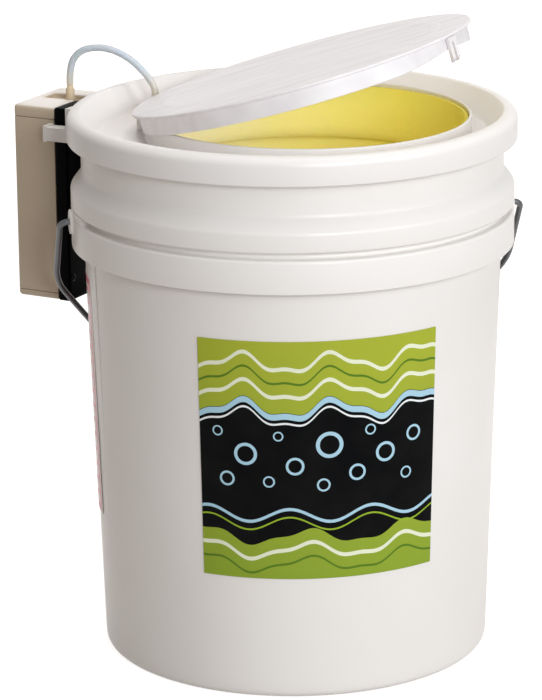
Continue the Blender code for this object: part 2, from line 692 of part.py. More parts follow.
def make_lid():
    """The snap lid: skirt, rounded crest, dished channel and hatch collar."""
    skirt_bottom = PAIL_HEIGHT - LID_SKIRT_HEIGHT
    skirt_inner = BEAD_RADIUS + GAP
    skirt_round = LID_SKIRT_WALL / 3
    mouth = wall_radius(PAIL_HEIGHT) - PAIL_WALL - GAP
    edge = [(CREST_RADIUS + CREST_INSET * math.sin(math.radians(angle)),
             CREST - LID_EDGE_DROP * (1.0 - math.cos(math.radians(angle))))
            for angle in (30, 60, 90)]
    floor_inner = COLLAR_BORE - COLLAR_OFFSET - COLLAR_WALL * 4
    centre = collar_centre()
    lid = turned("lid_ring", [(CREST_RADIUS, CREST)] + edge + [
        (LID_RADIUS, skirt_bottom + skirt_round),
        (LID_RADIUS - skirt_round, skirt_bottom),
        (skirt_inner, skirt_bottom),
        (skirt_inner, LID_UNDER - skirt_round),
        (skirt_inner - skirt_round, LID_UNDER),
        (RIM_RADIUS, LID_UNDER),
        (mouth, PAIL_HEIGHT + GAP * 2),
        (CHANNEL_RADIUS + LID_WALL, CHANNEL_UNDER),
        (floor_inner, CHANNEL_UNDER),
        (floor_inner, CHANNEL_FLOOR),
        (CHANNEL_RADIUS, CHANNEL_FLOOR),
        (CHANNEL_RADIUS + DISH_FOOT_WIDTH, CHANNEL_FLOOR + DISH_FOOT_RISE),
        (CREST_RADIUS - DISH_TOP_WIDTH, CREST - DISH_TOP_DROP),
    ], closed=True)
    hole = disc("hole", COLLAR_RADIUS - COLLAR_WALL / 2, CHANNEL_UNDER - PAST, CHANNEL_FLOOR + PAST)
    hole.location = centre
    collar = ring("collar", COLLAR_BORE, COLLAR_RADIUS, CHANNEL_UNDER - GAP, COLLAR_TOP)
    collar.location = centre
    cut(lid, hole)
    join(lid, collar)

    # Two lugs for the hinge pin, and the hole for the air fitting
    lug_radius = HINGE_BARREL_RADIUS
    for side in (-1, 1):
        near = side * (HINGE_BARREL_LENGTH / 2 + GAP)
        far = near + side * HINGE_LUG_WIDTH
        knuckle = rod("knuckle", lug_radius, (-HINGE_DISTANCE, near, HINGE_HEIGHT),
                      (-HINGE_DISTANCE, far, HINGE_HEIGHT))
        web = block("web", (-HINGE_DISTANCE - lug_radius * 0.9, min(near, far) + GAP / 3,
                            CHANNEL_UNDER + GAP),
                    (-HINGE_DISTANCE + lug_radius * 0.9, max(near, far) - GAP / 3, HINGE_HEIGHT))
        bore = rod("bore", HINGE_PIN_RADIUS + SCREW_PLAY,
                   (-HINGE_DISTANCE, near - side * GAP * 2, HINGE_HEIGHT),
                   (-HINGE_DISTANCE, far + side * GAP, HINGE_HEIGHT), 16)
        for made in (knuckle, web, bore):
            made.parent = LID_AXES
        join(lid, web, knuckle)
        cut(lid, bore)
    spot = fitting_spot()
    cut(lid, rod("fitting_hole", FITTING_RADIUS + GAP, (spot.x, spot.y, CHANNEL_UNDER - PAST),
                 (spot.x, spot.y, CHANNEL_FLOOR + PAST)))
    cut(lid, catch_slot(CHANNEL_UNDER - PAST, CHANNEL_FLOOR + PAST))
    for side in (-1, 1):
        hole = rod("screw_hole", SCREW_RADIUS + SCREW_PLAY,
                   (bracket_screw_tip(), side * arm_centre(), pad_screw_height()),
                   (PUMP_BACK, side * arm_centre(), pad_screw_height()), 16)
        hole.parent = PUMP_AXES
        cut(lid, hole)
    dress(lid, WHITE, 0.35)

    gasket = ring("lid_gasket", RIM_RADIUS + GASKET_INSET, BEAD_RADIUS - BEAD_ROUND,
                  PAIL_HEIGHT + GAP, LID_UNDER - GAP)
    dress(gasket, RUBBER, 0.8)

    foam_radius = wall_radius(LID_FOAM_BOTTOM) - PAIL_WALL - LID_FOAM_CLEARANCE
    foam = disc("lid_foam", foam_radius, LID_FOAM_BOTTOM, LID_FOAM_TOP)
    cut(foam, rod("hose_hole", FITTING_RADIUS + GAP * 2, (spot.x, spot.y, LID_FOAM_BOTTOM - PAST),
                  (spot.x, spot.y, LID_FOAM_TOP + PAST)))
    cut(foam, catch_slot(LID_FOAM_TOP - CATCH_PLAY * 2, LID_FOAM_TOP + PAST))
    upstand = disc("upstand", FOAM_UPSTAND_RADIUS, LID_FOAM_TOP - FOAM_UPSTAND_WALL,
                   COLLAR_TOP - FOAM_UPSTAND_DROP)
    upstand.location = centre
    bore = disc("bore", FOAM_BORE, LID_FOAM_BOTTOM - PAST, CREST)
    bore.location = centre
    join(foam, upstand)
    cut(foam, bore)
    dress(foam, FOAM, 0.9)


def skirt_cut(low, high):
    """Cutter that lets the hatch's skirt rise on both sides of the latch."""
    work = bmesh.new()
    low_half = SKIRT_CUT_LOW + (SKIRT_CUT_LOW - SKIRT_CUT_HIGH)
    corners = ((-low_half, low * 2 - high), (low_half, low * 2 - high),
               (SKIRT_CUT_HIGH, high), (-SKIRT_CUT_HIGH, high))
    inner = HATCH_SKIRT_RADIUS * math.cos(math.asin(SKIRT_CUT_LOW / HATCH_SKIRT_RADIUS))
    faces = []
    for reach in (inner - HATCH_SKIRT_WALL * 2, HATCH_RADIUS):
        faces.append([work.verts.new((reach, y, z)) for y, z in corners])
    work.faces.new(reversed(faces[0]))
    work.faces.new(faces[1])
    for number in range(4):
        after = (number + 1) % 4
        work.faces.new((faces[0][number], faces[0][after], faces[1][after], faces[1][number]))
    made = mesh_object("skirt_cut", work)
    PARTS.objects.link(made)
    made.location = (HINGE_REACH, 0.0, 0.0)
    made.rotation_euler = (0.0, 0.0, LATCH_AZIMUTH)
    return made


def make_hatch():
    """The round hatch, modelled shut and hung open on its hinge."""
    under = HINGE_DROP
    top = under + HATCH_PLATE
    inner = HATCH_SKIRT_RADIUS - HATCH_SKIRT_WALL
    skirt_bottom = under - HATCH_SKIRT_DEPTH
    door = disc("hatch_door", HATCH_RADIUS, under, top)
    soften(door, HATCH_ROUND, 1)
    door.location = (HINGE_REACH, 0.0, 0.0)
    skirt = ring("skirt", inner, HATCH_SKIRT_RADIUS, skirt_bottom, under + HATCH_PLATE / 2)
    skirt.location = (HINGE_REACH, 0.0, 0.0)
    notch_x = HINGE_REACH - inner * math.cos(HINGE_NOTCH_ANGLE / 2)
    cut(skirt, block("notch", (-HATCH_RADIUS, -HATCH_RADIUS, skirt_bottom - PAST),
                     (notch_x, HATCH_RADIUS, top)))
    latch = axes("latch_axis", (HINGE_REACH, 0.0, 0.0), (0.0, 0.0, LATCH_AZIMUTH), HATCH_AXES)
    cut(skirt, skirt_cut(skirt_bottom, under - SKIRT_CUT_LEFT))
    join(door, skirt)
    half = HINGE_BARREL_LENGTH / 2
    barrel = rod("barrel", HINGE_BARREL_RADIUS, (0, -half, 0), (0, half, 0))
    web = block("web", (-HINGE_BARREL_RADIUS * 0.9, -half + GAP / 3, 0.0),
                (HINGE_BARREL_RADIUS * 0.9, half - GAP / 3, under + HATCH_PLATE / 2))
    join(door, web, barrel)
    cut(door, rod("bore", HINGE_PIN_RADIUS + GAP, (0, -half - PAST, 0), (0, half + PAST, 0), 16))
    slot_middle = Vector((HATCH_SKIRT_RADIUS + THUMB_SLOT_DEPTH, 0.0, under))
    slot_middle.rotate(axes_rotation(THUMB_SLOT_AZIMUTH))
    slot = block("thumb_slot", (-THUMB_SLOT_DEPTH / 2, -THUMB_SLOT_WIDTH / 2, -PAST),
                 (THUMB_SLOT_DEPTH / 2, THUMB_SLOT_WIDTH / 2, HATCH_PLATE + PAST))
    slot.location += slot_middle + Vector((HINGE_REACH, 0.0, 0.0))
    slot.rotation_euler = (0.0, 0.0, THUMB_SLOT_AZIMUTH)
    cut(door, slot)
    dress(door, WHITE, 0.35, 0.0, HATCH_AXES)

    foam = disc("hatch_foam", HATCH_FOAM_RADIUS, under - GAP - HATCH_FOAM_THICKNESS, under - GAP)
    foam.location = (HINGE_REACH, 0.0, 0.0)
    dress(foam, FOAM, 0.9, 0.0, HATCH_AXES)

    # The two-pronged tab hangs under the flange, outside the skirt.
    near = HATCH_SKIRT_RADIUS + GAP
    length = HATCH_UNDER - GAP - CHANNEL_UNDER + LATCH_HOOK
    tip = under - GAP - length
    tab = block("hatch_latch", (near, -LATCH_WIDTH / 2, tip),
                (near + LATCH_THICKNESS, LATCH_WIDTH / 2, under - GAP))
    cut(tab, block("slot", (near - PAST, -LATCH_SLOT / 2, tip - PAST),
                   (near + LATCH_THICKNESS + PAST, LATCH_SLOT / 2, tip + length * 0.75)))
    dress(tab, WHITE, 0.35, 0.0, latch)

    pin_half = half + HINGE_LUG_WIDTH + GAP * 2
    pin = rod("hinge_pin", HINGE_PIN_RADIUS, (0, -pin_half, 0), (0, pin_half, 0))
    pin.location = (-HINGE_DISTANCE, 0.0, HINGE_HEIGHT)
    dress(pin, STEEL, 0.4, 1.0, LID_AXES)


def arm_centre():
    """Middle of a bracket arm from the pump's middle plane."""
    return CASE_HALF_WIDTH + COVER_OVERHANG + ARM_CLEARANCE + ARM_WIDTH / 2


def pad_screw_height():
    """Level of the screws through the bracket's pads."""
    return RAIL_TOP + PAD_HEIGHT * PAD_SCREW_SHARE


def bracket_screw_tip():
    """End of a bracket screw inside the lid's skirt."""
    inner = math.sqrt(BEAD_RADIUS ** 2 - arm_centre() ** 2)
    return inner + GAP * 3


def make_bracket():
    """The bracket on the lid's side, and the clip that hooks over its rail."""
    half = arm_centre() + ARM_WIDTH / 2
    rail_x = LID_RADIUS + RAIL_SPACE
    bottom = RAIL_TOP - RAIL_HEIGHT
    bracket = block("pump_bracket", (rail_x, -half, bottom),
                    (rail_x + RAIL_THICKNESS, half, RAIL_TOP))
    lid_edge = math.sqrt(LID_RADIUS ** 2 - half ** 2)
    pad_x = LID_RADIUS + PAD_REACH
    root_x = lid_edge - PAST * 2
    for side in (-1, 1):
        near = side * (arm_centre() - ARM_WIDTH / 2)
        far = side * half
        y_low, y_high = min(near, far), max(near, far)
        arm = block("arm", (root_x, y_low, bottom - GAP),
                    (LID_RADIUS + ARM_REACH, y_high, RAIL_TOP + GAP))
        pad = block("pad", (root_x, y_low, RAIL_TOP - PAST),
                    (pad_x, y_high, RAIL_TOP + PAD_HEIGHT))
        join(bracket, arm, pad)
    cut(bracket, disc("lid_side", LID_RADIUS + GAP, bottom - PAST, RAIL_TOP + PAD_HEIGHT + PAST,
                      2 * STEPS))
    for side in (-1, 1):
        cut(bracket, rod("hole", SCREW_RADIUS + SCREW_PLAY,
                         (bracket_screw_tip(), side * arm_centre(), pad_screw_height()),
                         (pad_x + PAST, side * arm_centre(), pad_screw_height()), 16))
    dress(bracket, WHITE, 0.4, 0.0, PUMP_AXES)
    for side, name in ((1, "bracket_screw_near"), (-1, "bracket_screw_far")):
        spot = side * arm_centre()
        screw = rod(name, SCREW_RADIUS, (bracket_screw_tip() + GAP, spot, pad_screw_height()),
                    (pad_x + GAP * 2, spot, pad_screw_height()), 16)
        head = rod("head", SCREW_HEAD_RADIUS, (pad_x + GAP, spot, pad_screw_height()),
                   (pad_x + GAP + SCREW_HEAD, spot, pad_screw_height()), 16)
        join(screw, head)
        dress(screw, STEEL, 0.35, 1.0, PUMP_AXES)

    plate_x = rail_x + RAIL_THICKNESS + GAP
    clip_top = RAIL_TOP + GAP + CLIP_THICKNESS + GAP
    tongue_x = rail_x - GAP - CLIP_THICKNESS
    clip = block("pump_clip", (plate_x, -CLIP_WIDTH / 2, clip_top - CLIP_PLATE),
                 (PUMP_BACK - GAP, CLIP_WIDTH / 2, clip_top))
    bridge = block("bridge", (tongue_x, -CLIP_WIDTH / 2 + GAP, RAIL_TOP + GAP * 2),
                   (PUMP_BACK - GAP * 2, CLIP_WIDTH / 2 - GAP, clip_top - GAP / 2))
    tongue = block("tongue", (tongue_x + GAP / 3, -CLIP_WIDTH / 2 + GAP * 2, clip_top - CLIP_TONGUE),
                   (rail_x - GAP, CLIP_WIDTH / 2 - GAP * 2, clip_top - GAP))
    join(clip, bridge, tongue)
    dress(clip, STEEL, 0.35, 1.0, PUMP_AXES)


def recess(name):
    """Cutter of the hollow in the pump's top for the nipple and the switch."""
    return block(name, (PUMP_BACK + COVER_RIM, RECESS_Y - RECESS_HALF_WIDTH, RECESS_FLOOR),
                 (CASE_X - RECESS_MARGIN, RECESS_Y + RECESS_HALF_WIDTH, PUMP_TOP + PAST))


def switch_slot(bottom, top):
    """Cutter of the slot that the switch's stem moves in."""
    wide = SWITCH_STEM / 2 + GAP
    long = SWITCH_TRAVEL / 2 + wide
    return block("slot", (SWITCH_X - wide, SWITCH_Y - long, bottom),
                 (SWITCH_X + wide, SWITCH_Y + long, top))


def screw_spots():
    """Places of the four screws of the back cover."""
    y = CASE_HALF_WIDTH - CASE_WALL - POST_SIZE / 2
    low = CASE_BOTTOM + SCREW_INSET_Z
    high = CASE_TOP - SCREW_INSET_Z
    return [(side * y, height) for height in (low, high) for side in (-1, 1)]


def make_case():
    """The pump's case, its two caps, the black back cover and its screws."""
    half = CASE_HALF_WIDTH
    case = block("pump_case", (SEAM_X, -half, CASE_BOTTOM + GAP), (CASE_X, half, CASE_TOP - GAP))
    hollow = block("hollow", (SEAM_X - PAST, -half + CASE_WALL, PUMP_BOTTOM),
                   (CASE_X - CASE_WALL, half - CASE_WALL, PUMP_TOP))
    cut(case, hollow)
    for y, height in screw_spots():
        side = 1 if y > 0 else -1
        inner = y - side * POST_SIZE / 2
        outer = side * (half - CASE_WALL / 2)
        post = block("post", (SEAM_X + GAP, min(inner, outer), height - POST_SIZE),
                     (SEAM_X + POST_SIZE, max(inner, outer), height + POST_SIZE))
        join(case, post)
    for y, height in screw_spots():
        cut(case, rod("hole", SCREW_RADIUS, (SEAM_X - PAST, y, height),
                      (SEAM_X + POST_SIZE * 0.8, y, height), 12))
    dress(case, BEIGE, 0.45, 0.0, PUMP_AXES)

    top_cap = block("pump_top_cap", (SEAM_X, -half, CASE_TOP), (CASE_X, half, PUMP_TOP))
    cut(top_cap, block("hollow", (SEAM_X - PAST, -half + CASE_WALL, CASE_TOP - PAST),
                       (CASE_X - CASE_WALL, half - CASE_WALL, CAP_ROOF)))
    cut(top_cap, recess("recess"))
    cut(top_cap, rod("nipple_hole", SPIGOT_RADIUS + GAP, (NIPPLE_X, NIPPLE_Y, CAP_ROOF - PAST),
                     (NIPPLE_X, NIPPLE_Y, PUMP_TOP), 16))
    dress(top_cap, BEIGE, 0.45, 0.0, PUMP_AXES)

    bottom_cap = block("pump_bottom_cap", (SEAM_X, -half, PUMP_BOTTOM),
                       (CASE_X, half, CASE_BOTTOM))
    cut(bottom_cap, block("hollow", (SEAM_X - PAST, -half + CASE_WALL, PUMP_BOTTOM + CASE_WALL),
                          (CASE_X - CASE_WALL, half - CASE_WALL, CASE_BOTTOM + PAST)))
    dress(bottom_cap, BEIGE, 0.45, 0.0, PUMP_AXES)

    wide = half + COVER_OVERHANG
    cover = block("pump_back_cover", (PUMP_BACK, -wide, PUMP_BOTTOM), (SEAM_X - GAP, wide, PUMP_TOP))
    soften(cover, COVER_ROUND)
    cut(cover, block("hollow", (PUMP_BACK + COVER_WALL, -wide + COVER_WALL, PUMP_BOTTOM + COVER_WALL),
                     (SEAM_X + PAST, wide - COVER_WALL, CAP_ROOF)))
    cut(cover, recess("recess"))
    for y, height in screw_spots():
        cut(cover, rod("hole", SCREW_RADIUS + GAP, (PUMP_BACK - PAST, y, height),
                       (PUMP_BACK + COVER_WALL + PAST, y, height), 12))
    cut(cover, switch_slot(CAP_ROOF - PAST, PUMP_TOP))
    dress(cover, BLACK, 0.4, 0.0, PUMP_AXES)

    for number, (y, height) in enumerate(screw_spots(), 1):
        screw = rod("cover_screw_%d" % number, SCREW_RADIUS - SCREW_PLAY,
                    (PUMP_BACK - GAP * 2, y, height), (SEAM_X + POST_SIZE * 0.7, y, height), 12)
        join(screw, rod("head", SCREW_HEAD_RADIUS, (PUMP_BACK - GAP - SCREW_HEAD, y, height),
                        (PUMP_BACK - GAP, y, height), 16))
        dress(screw, STEEL, 0.35, 1.0, PUMP_AXES)


def make_switch():
    """The slide switch: a metal plate in the recess and its knob."""
    y = SWITCH_Y
    base = RECESS_FLOOR + GAP
    plate = block("switch_plate",
                  (SWITCH_X - SWITCH_PLATE_WIDTH / 2, y - SWITCH_PLATE_LENGTH / 2, base),
                  (SWITCH_X + SWITCH_PLATE_WIDTH / 2, y + SWITCH_PLATE_LENGTH / 2,
                   base + SWITCH_PLATE_THICKNESS))
    cut(plate, switch_slot(base - PAST, base + PAST))
    dress(plate, STEEL, 0.3, 1.0, PUMP_AXES)
    rest = y - SWITCH_TRAVEL / 2
    low = base + SWITCH_PLATE_THICKNESS + GAP
    knob = block("switch_knob", (SWITCH_X - SWITCH_KNOB / 2, rest - SWITCH_KNOB / 2, low),
                 (SWITCH_X + SWITCH_KNOB / 2, rest + SWITCH_KNOB / 2, low + SWITCH_KNOB_HEIGHT))
    stem = block("stem", (SWITCH_X - SWITCH_STEM / 2, rest - SWITCH_STEM / 2, CAP_ROOF + GAP),
                 (SWITCH_X + SWITCH_STEM / 2, rest + SWITCH_STEM / 2, low + SWITCH_KNOB_HEIGHT / 2))
    join(knob, stem)
    dress(knob, BLACK, 0.4, 0.0, PUMP_AXES)


def fitting_spot():
    """The air fitting's place on the lid."""
    return Vector((FITTING_DISTANCE * math.cos(FITTING_AZIMUTH),
                   FITTING_DISTANCE * math.sin(FITTING_AZIMUTH), 0.0))


def make_air_line():
    """Nipple, hoses, lid fitting and air stone."""
    base = RECESS_FLOOR + GAP
    tip = base + NIPPLE_HEIGHT
    nipple = turned("hose_nipple", [
        (NIPPLE_TIP_RADIUS, tip), (NIPPLE_RADIUS, base + NIPPLE_COLLAR), (NIPPLE_RADIUS, base),
        (SPIGOT_RADIUS, base), (SPIGOT_RADIUS, CAP_ROOF - SPIGOT_LENGTH),
        (NIPPLE_BORE_RADIUS, CAP_ROOF - SPIGOT_LENGTH), (NIPPLE_BORE_RADIUS, tip)], 20,
        closed=True)
    nipple.location = (NIPPLE_X, NIPPLE_Y, 0.0)
    dress(nipple, IVORY, 0.4, 0.0, PUMP_AXES)

    spot = fitting_spot()
    fitting_top = CHANNEL_FLOOR + FITTING_RISE
    fitting_bottom = CHANNEL_UNDER - FITTING_DROP
    fitting = turned("lid_fitting", [
        (FITTING_RADIUS - FITTING_LEAD / 5, fitting_top), (FITTING_RADIUS, fitting_top - FITTING_LEAD),
        (FITTING_RADIUS, CHANNEL_FLOOR + GAP + FITTING_FLANGE),
        (FITTING_FLANGE_RADIUS, CHANNEL_FLOOR + GAP + FITTING_FLANGE),
        (FITTING_FLANGE_RADIUS, CHANNEL_FLOOR + GAP), (FITTING_RADIUS, CHANNEL_FLOOR + GAP),
        (FITTING_RADIUS, fitting_bottom), (FITTING_BORE_RADIUS, fitting_bottom),
        (FITTING_BORE_RADIUS, fitting_top)], 20, closed=True)
    fitting.location = spot
    dress(fitting, IVORY, 0.5)

    # Outer hose: along the straight line from the nipple to the fitting, and up.
    start = Vector((NIPPLE_X, NIPPLE_Y, 0.0))
    start.rotate(axes_rotation(PUMP_AZIMUTH))
    along = (spot - start)
    span = along.length
    along.normalize()
    outer_route = [
        (0.0, tip + GAP), (0.0005, tip + 0.009), (0.0030, tip + 0.0180),
        (0.0100, tip + 0.0248), (0.0210, tip + 0.0275), (0.0330, tip + 0.0262),
        (0.0450, tip + 0.0208), (0.0550, tip + 0.0125), (span - 0.0026, fitting_top + 0.0100),
        (span - 0.0002, fitting_top + 0.0045), (span, fitting_top + GAP),
    ]
    route = [start + along * run + Vector((0, 0, height)) for run, height in outer_route]
    hose = tube("air_hose_outer", smooth_route(route, 22), HOSE_RADIUS, 3)
    dress(hose, HOSE, 0.25)

    outward = spot.normalized()
    stone_bottom = FOAM_FLOOR_TOP + STONE_CLEARANCE
    stone_top = stone_bottom + STONE_LENGTH + STONE_NUB
    stone_distance = (wall_radius(FOAM_FLOOR_TOP) - PAIL_WALL - FOAM_THICKNESS
                      - STONE_RADIUS - STONE_INSET)
    across = FITTING_DISTANCE - stone_distance
    down = fitting_bottom - stone_top
    inner_route = [(FITTING_DISTANCE, fitting_bottom - GAP),
                   (FITTING_DISTANCE, fitting_bottom - INNER_HOSE_DROP)]
    inner_route += [(FITTING_DISTANCE - across * inward, fitting_bottom - down * drop)
                    for inward, drop in INNER_HOSE]
    inner_route += [(stone_distance, stone_top + STONE_NUB * 3), (stone_distance, stone_top + GAP)]
    route = [outward * distance + Vector((0, 0, height)) for distance, height in inner_route]
    hose = tube("air_hose_inner", smooth_route(route, 26), HOSE_RADIUS, 2)
    dress(hose, HOSE, 0.25)

    stone = turned("air_stone", [
        (0.0, stone_top), (HOSE_RADIUS * 0.8, stone_top), (HOSE_RADIUS * 0.8, stone_top - STONE_NUB),
        (STONE_RADIUS - STONE_ROUND, stone_top - STONE_NUB),
        (STONE_RADIUS, stone_top - STONE_NUB - STONE_ROUND),
        (STONE_RADIUS, stone_bottom + STONE_ROUND), (STONE_RADIUS - STONE_ROUND, stone_bottom),
        (0.0, stone_bottom)], 20)
    stone.location = outward * stone_distance
    dress(stone, STONE, 0.95)


def make_cells():
    """Two cells, one on the other, between their contact plates."""
    x = CASE_X - CASE_WALL - GAP - CELL_RADIUS
    y = CASE_HALF_WIDTH - CASE_WALL - GAP - CELL_RADIUS
    level = PUMP_BOTTOM + CASE_WALL + GAP
    half = CONTACT_SIZE / 2
    plate = block("contact_bottom", (x - half, y - half, level),
                  (x + half, y + half, level + CONTACT_THICKNESS))
    dress(plate, STEEL, 0.35, 1.0, PUMP_AXES)
    level += CONTACT_THICKNESS + GAP
    for name in ("battery_lower", "battery_upper"):
        cell = turned(name, [
            (0.0, level + CELL_LENGTH), (CELL_NUB_RADIUS, level + CELL_LENGTH),
            (CELL_NUB_RADIUS, level + CELL_LENGTH - CELL_NUB),
            (CELL_RADIUS, level + CELL_LENGTH - CELL_NUB), (CELL_RADIUS, level), (0.0, level)], 24)
        cell.location = (x, y, 0.0)
        dress(cell, BLACK, 0.35, 0.0, PUMP_AXES)
        level += CELL_LENGTH + GAP
    plate = block("contact_top", (x - half, y - half, level),
                  (x + half, y + half, level + CONTACT_THICKNESS))
    dress(plate, STEEL, 0.35, 1.0, PUMP_AXES)


def make_mechanism():
    """Motor, eccentric, rocker lever, diaphragm and valve block."""
    x = CASE_X - CASE_WALL - GAP - CELL_RADIUS
    y = -(CASE_HALF_WIDTH - CASE_WALL - GAP - MOTOR_RADIUS)
    base = PUMP_BOTTOM + CASE_WALL + GAP
    can_top = base + MOTOR_LENGTH
    can = rod("motor_can", MOTOR_RADIUS, (x, y, base), (x, y, can_top))
    cut(can, rod("shaft_hole", SHAFT_RADIUS + GAP * 2, (x, y, can_top - SHAFT_DEPTH - GAP),
                 (x, y, can_top + PAST), 16))
    dress(can, STEEL, 0.35, 1.0, PUMP_AXES)

    deck = can_top + GAP
    deck_top = deck + CHASSIS_THICKNESS
    eye = CRANK_TO_PIVOT
    window = ECCENTRIC_THROW + CRANK_RADIUS + eye * math.sin(LEVER_SWING) + GAP
    frame_half = window + WINDOW_WALL
    pivot_x = x - eye
    reach_x = x + frame_half + DIAPHRAGM_RADIUS + GAP * 2
    wheel = deck_top + WHEEL_GAP
    lever_z = wheel + WHEEL_THICKNESS + WHEEL_GAP
    wall_y = -(CASE_HALF_WIDTH - CASE_WALL)
    lever_top = lever_z + LEVER_THICKNESS
    chassis = block("pump_chassis", (pivot_x - SHOULDER_RADIUS * 1.5, wall_y + GAP, deck),
                    (CASE_X - CASE_WALL - GAP, y + MOTOR_RADIUS, deck_top))
    foot = deck + CHASSIS_THICKNESS / 2
    join(chassis, rod("shoulder", SHOULDER_RADIUS, (pivot_x, y, foot - GAP),
                      (pivot_x, y, lever_z - GAP), 16))
    join(chassis, rod("post", POST_RADIUS, (pivot_x, y, foot),
                      (pivot_x, y, lever_top + WHEEL_GAP), 16))
    cut(chassis, rod("shaft_hole", SHAFT_RADIUS + GAP * 2, (x, y, deck - PAST),
                     (x, y, deck_top + PAST), 16))
    dress(chassis, BLACK, 0.5, 0.0, PUMP_AXES)

    rotor = rod("motor_rotor", SHAFT_RADIUS, (x, y, can_top - SHAFT_DEPTH),
                (x, y, wheel + WHEEL_THICKNESS / 3), 16)
    spin = rotor.location.copy()
    wheel_disc = rod("wheel", ECCENTRIC_RADIUS, (x, y, wheel), (x, y, wheel + WHEEL_THICKNESS))
    crank = rod("crank", CRANK_RADIUS, (x + ECCENTRIC_THROW, y, wheel + WHEEL_THICKNESS / 2),
                (x + ECCENTRIC_THROW, y, lever_top + GAP), 12)
    join(rotor, wheel_disc, crank)
    rotor.location = spin
    dress(rotor, STEEL, 0.35, 1.0, PUMP_AXES)

    lever_axes = axes("rocker_axis", (pivot_x, y, lever_z), (0, 0, 0), PUMP_AXES)
    length = reach_x - pivot_x
    lever = block("rocker_lever", (-SHOULDER_RADIUS, -LEVER_WIDTH / 2, 0.0),
                  (length, LEVER_WIDTH / 2, LEVER_THICKNESS))
    frame = block("frame", (eye - frame_half, -frame_half, GAP / 3),
                  (eye + frame_half, frame_half, LEVER_THICKNESS - GAP / 3))
    join(lever, frame)
    past_top = LEVER_THICKNESS + PAST
    cut(lever, block("window", (eye - window, -window, -PAST), (eye + window, window, past_top)))
    cut(lever, rod("eye", POST_RADIUS + GAP, (0, 0, -PAST), (0, 0, past_top), 16))
    dress(lever, IVORY, 0.5, 0.0, lever_axes)

    # Diaphragm and valve block stand beside the lever's free end.
    swing = length * math.sin(LEVER_SWING) + GAP
    face_y = y - LEVER_WIDTH / 2 - swing
    level = lever_z + LEVER_THICKNESS / 2
    skin = rod("diaphragm", DIAPHRAGM_RADIUS, (reach_x, face_y - DIAPHRAGM_THICKNESS, level),
               (reach_x, face_y, level))
    dress(skin, RUBBER, 0.8, 0.0, PUMP_AXES)
    valve = block("valve_block", (reach_x - DIAPHRAGM_RADIUS, wall_y + GAP, deck_top + GAP),
                  (CASE_X - CASE_WALL - GAP, face_y - DIAPHRAGM_THICKNESS - GAP, deck_top + VALVE_HEIGHT))
    dress(valve, BLACK, 0.5, 0.0, PUMP_AXES)

    outlet = (reach_x, wall_y + GAP + TUBE_RADIUS + 0.0004, deck_top + VALVE_HEIGHT + GAP)
    top = CAP_ROOF - SPIGOT_LENGTH - GAP
    route = [outlet, (outlet[0], outlet[1], outlet[2] + 0.012),
             (outlet[0] - 0.004, outlet[1] + 0.006, outlet[2] + 0.026),
             (NIPPLE_X + 0.004, NIPPLE_Y - 0.007, top - 0.026),
             (NIPPLE_X, NIPPLE_Y, top - 0.010), (NIPPLE_X, NIPPLE_Y, top)]
    line = tube("pump_tube", smooth_route(route, 16), TUBE_RADIUS, 2)
    dress(line, HOSE, 0.3, 0.0, PUMP_AXES)


for old in list(bpy.data.objects):
    bpy.data.objects.remove(old, do_unlink=True)
PARTS = collection("aerated_bait_cooler")
CUTTERS = collection("cutters")
LID_AXES = axes("lid_axis", (0.0, 0.0, 0.0), (0.0, 0.0, HATCH_AZIMUTH))
HATCH_AXES = axes("hatch_axis", (-HINGE_DISTANCE, 0.0, HINGE_HEIGHT),
                  (0.0, -HATCH_REST_ANGLE, 0.0), LID_AXES)
PUMP_AXES = axes("pump_axis", (0.0, 0.0, 0.0), (0.0, 0.0, PUMP_AZIMUTH))

make_pail()
make_labels()
make_foam()
make_bail()
make_lid()
make_hatch()
make_bracket()
make_case()
make_switch()
make_air_line()
make_cells()
make_mechanism()
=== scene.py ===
"""Looks of the insulated bait pail with its battery air pump.

Metres, +Z up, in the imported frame: the pail stands on Z = 0 with its axis on
the origin, its two ears on the X axis and its front print towards -Y.
"""

import math

import bmesh
import bpy
from mathutils import Matrix, Vector


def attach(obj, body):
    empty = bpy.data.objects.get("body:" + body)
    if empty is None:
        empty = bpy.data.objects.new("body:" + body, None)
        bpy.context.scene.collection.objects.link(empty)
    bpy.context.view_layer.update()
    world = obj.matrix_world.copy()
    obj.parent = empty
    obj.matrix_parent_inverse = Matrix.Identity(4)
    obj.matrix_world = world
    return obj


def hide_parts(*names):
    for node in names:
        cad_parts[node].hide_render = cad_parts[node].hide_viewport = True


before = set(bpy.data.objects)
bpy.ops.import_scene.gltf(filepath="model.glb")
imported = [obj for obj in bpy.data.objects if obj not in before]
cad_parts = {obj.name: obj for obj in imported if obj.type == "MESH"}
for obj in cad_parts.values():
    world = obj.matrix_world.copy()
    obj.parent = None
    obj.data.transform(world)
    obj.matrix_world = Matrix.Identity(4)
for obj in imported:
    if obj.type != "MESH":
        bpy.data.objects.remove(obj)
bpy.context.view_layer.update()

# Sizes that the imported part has, repeated here
GAP = 0.0003
PAIL_HEIGHT = 0.3742
BASE_RADIUS = 0.1343          # the wall's line continued down to Z = 0
WALL_TAPER = 0.0314
PAIL_WALL = 0.0022
RIM_RADIUS = 0.14605
BEAD_RADIUS = 0.1517
NECK_RADIUS = 0.1452
RING_RADIUS = 0.1526
GROOVE_RADIUS = 0.1460
BEAD_BOTTOM = 0.3660
NECK_BOTTOM = 0.3385
RING_TOP = 0.3290
RING_BOTTOM = 0.3151
SKIRT_TOP = 0.3106
SKIRT_BOTTOM = 0.2877
SKIRT_WALL = 0.0022
EAR_AXIS = 0.3070
EAR_HALF = 0.029
WIRE_RADIUS = 0.0021
WIRE_HOLE = 0.0026
BOSS_RADIUS = 0.0085
BAIL_LEG = 0.068
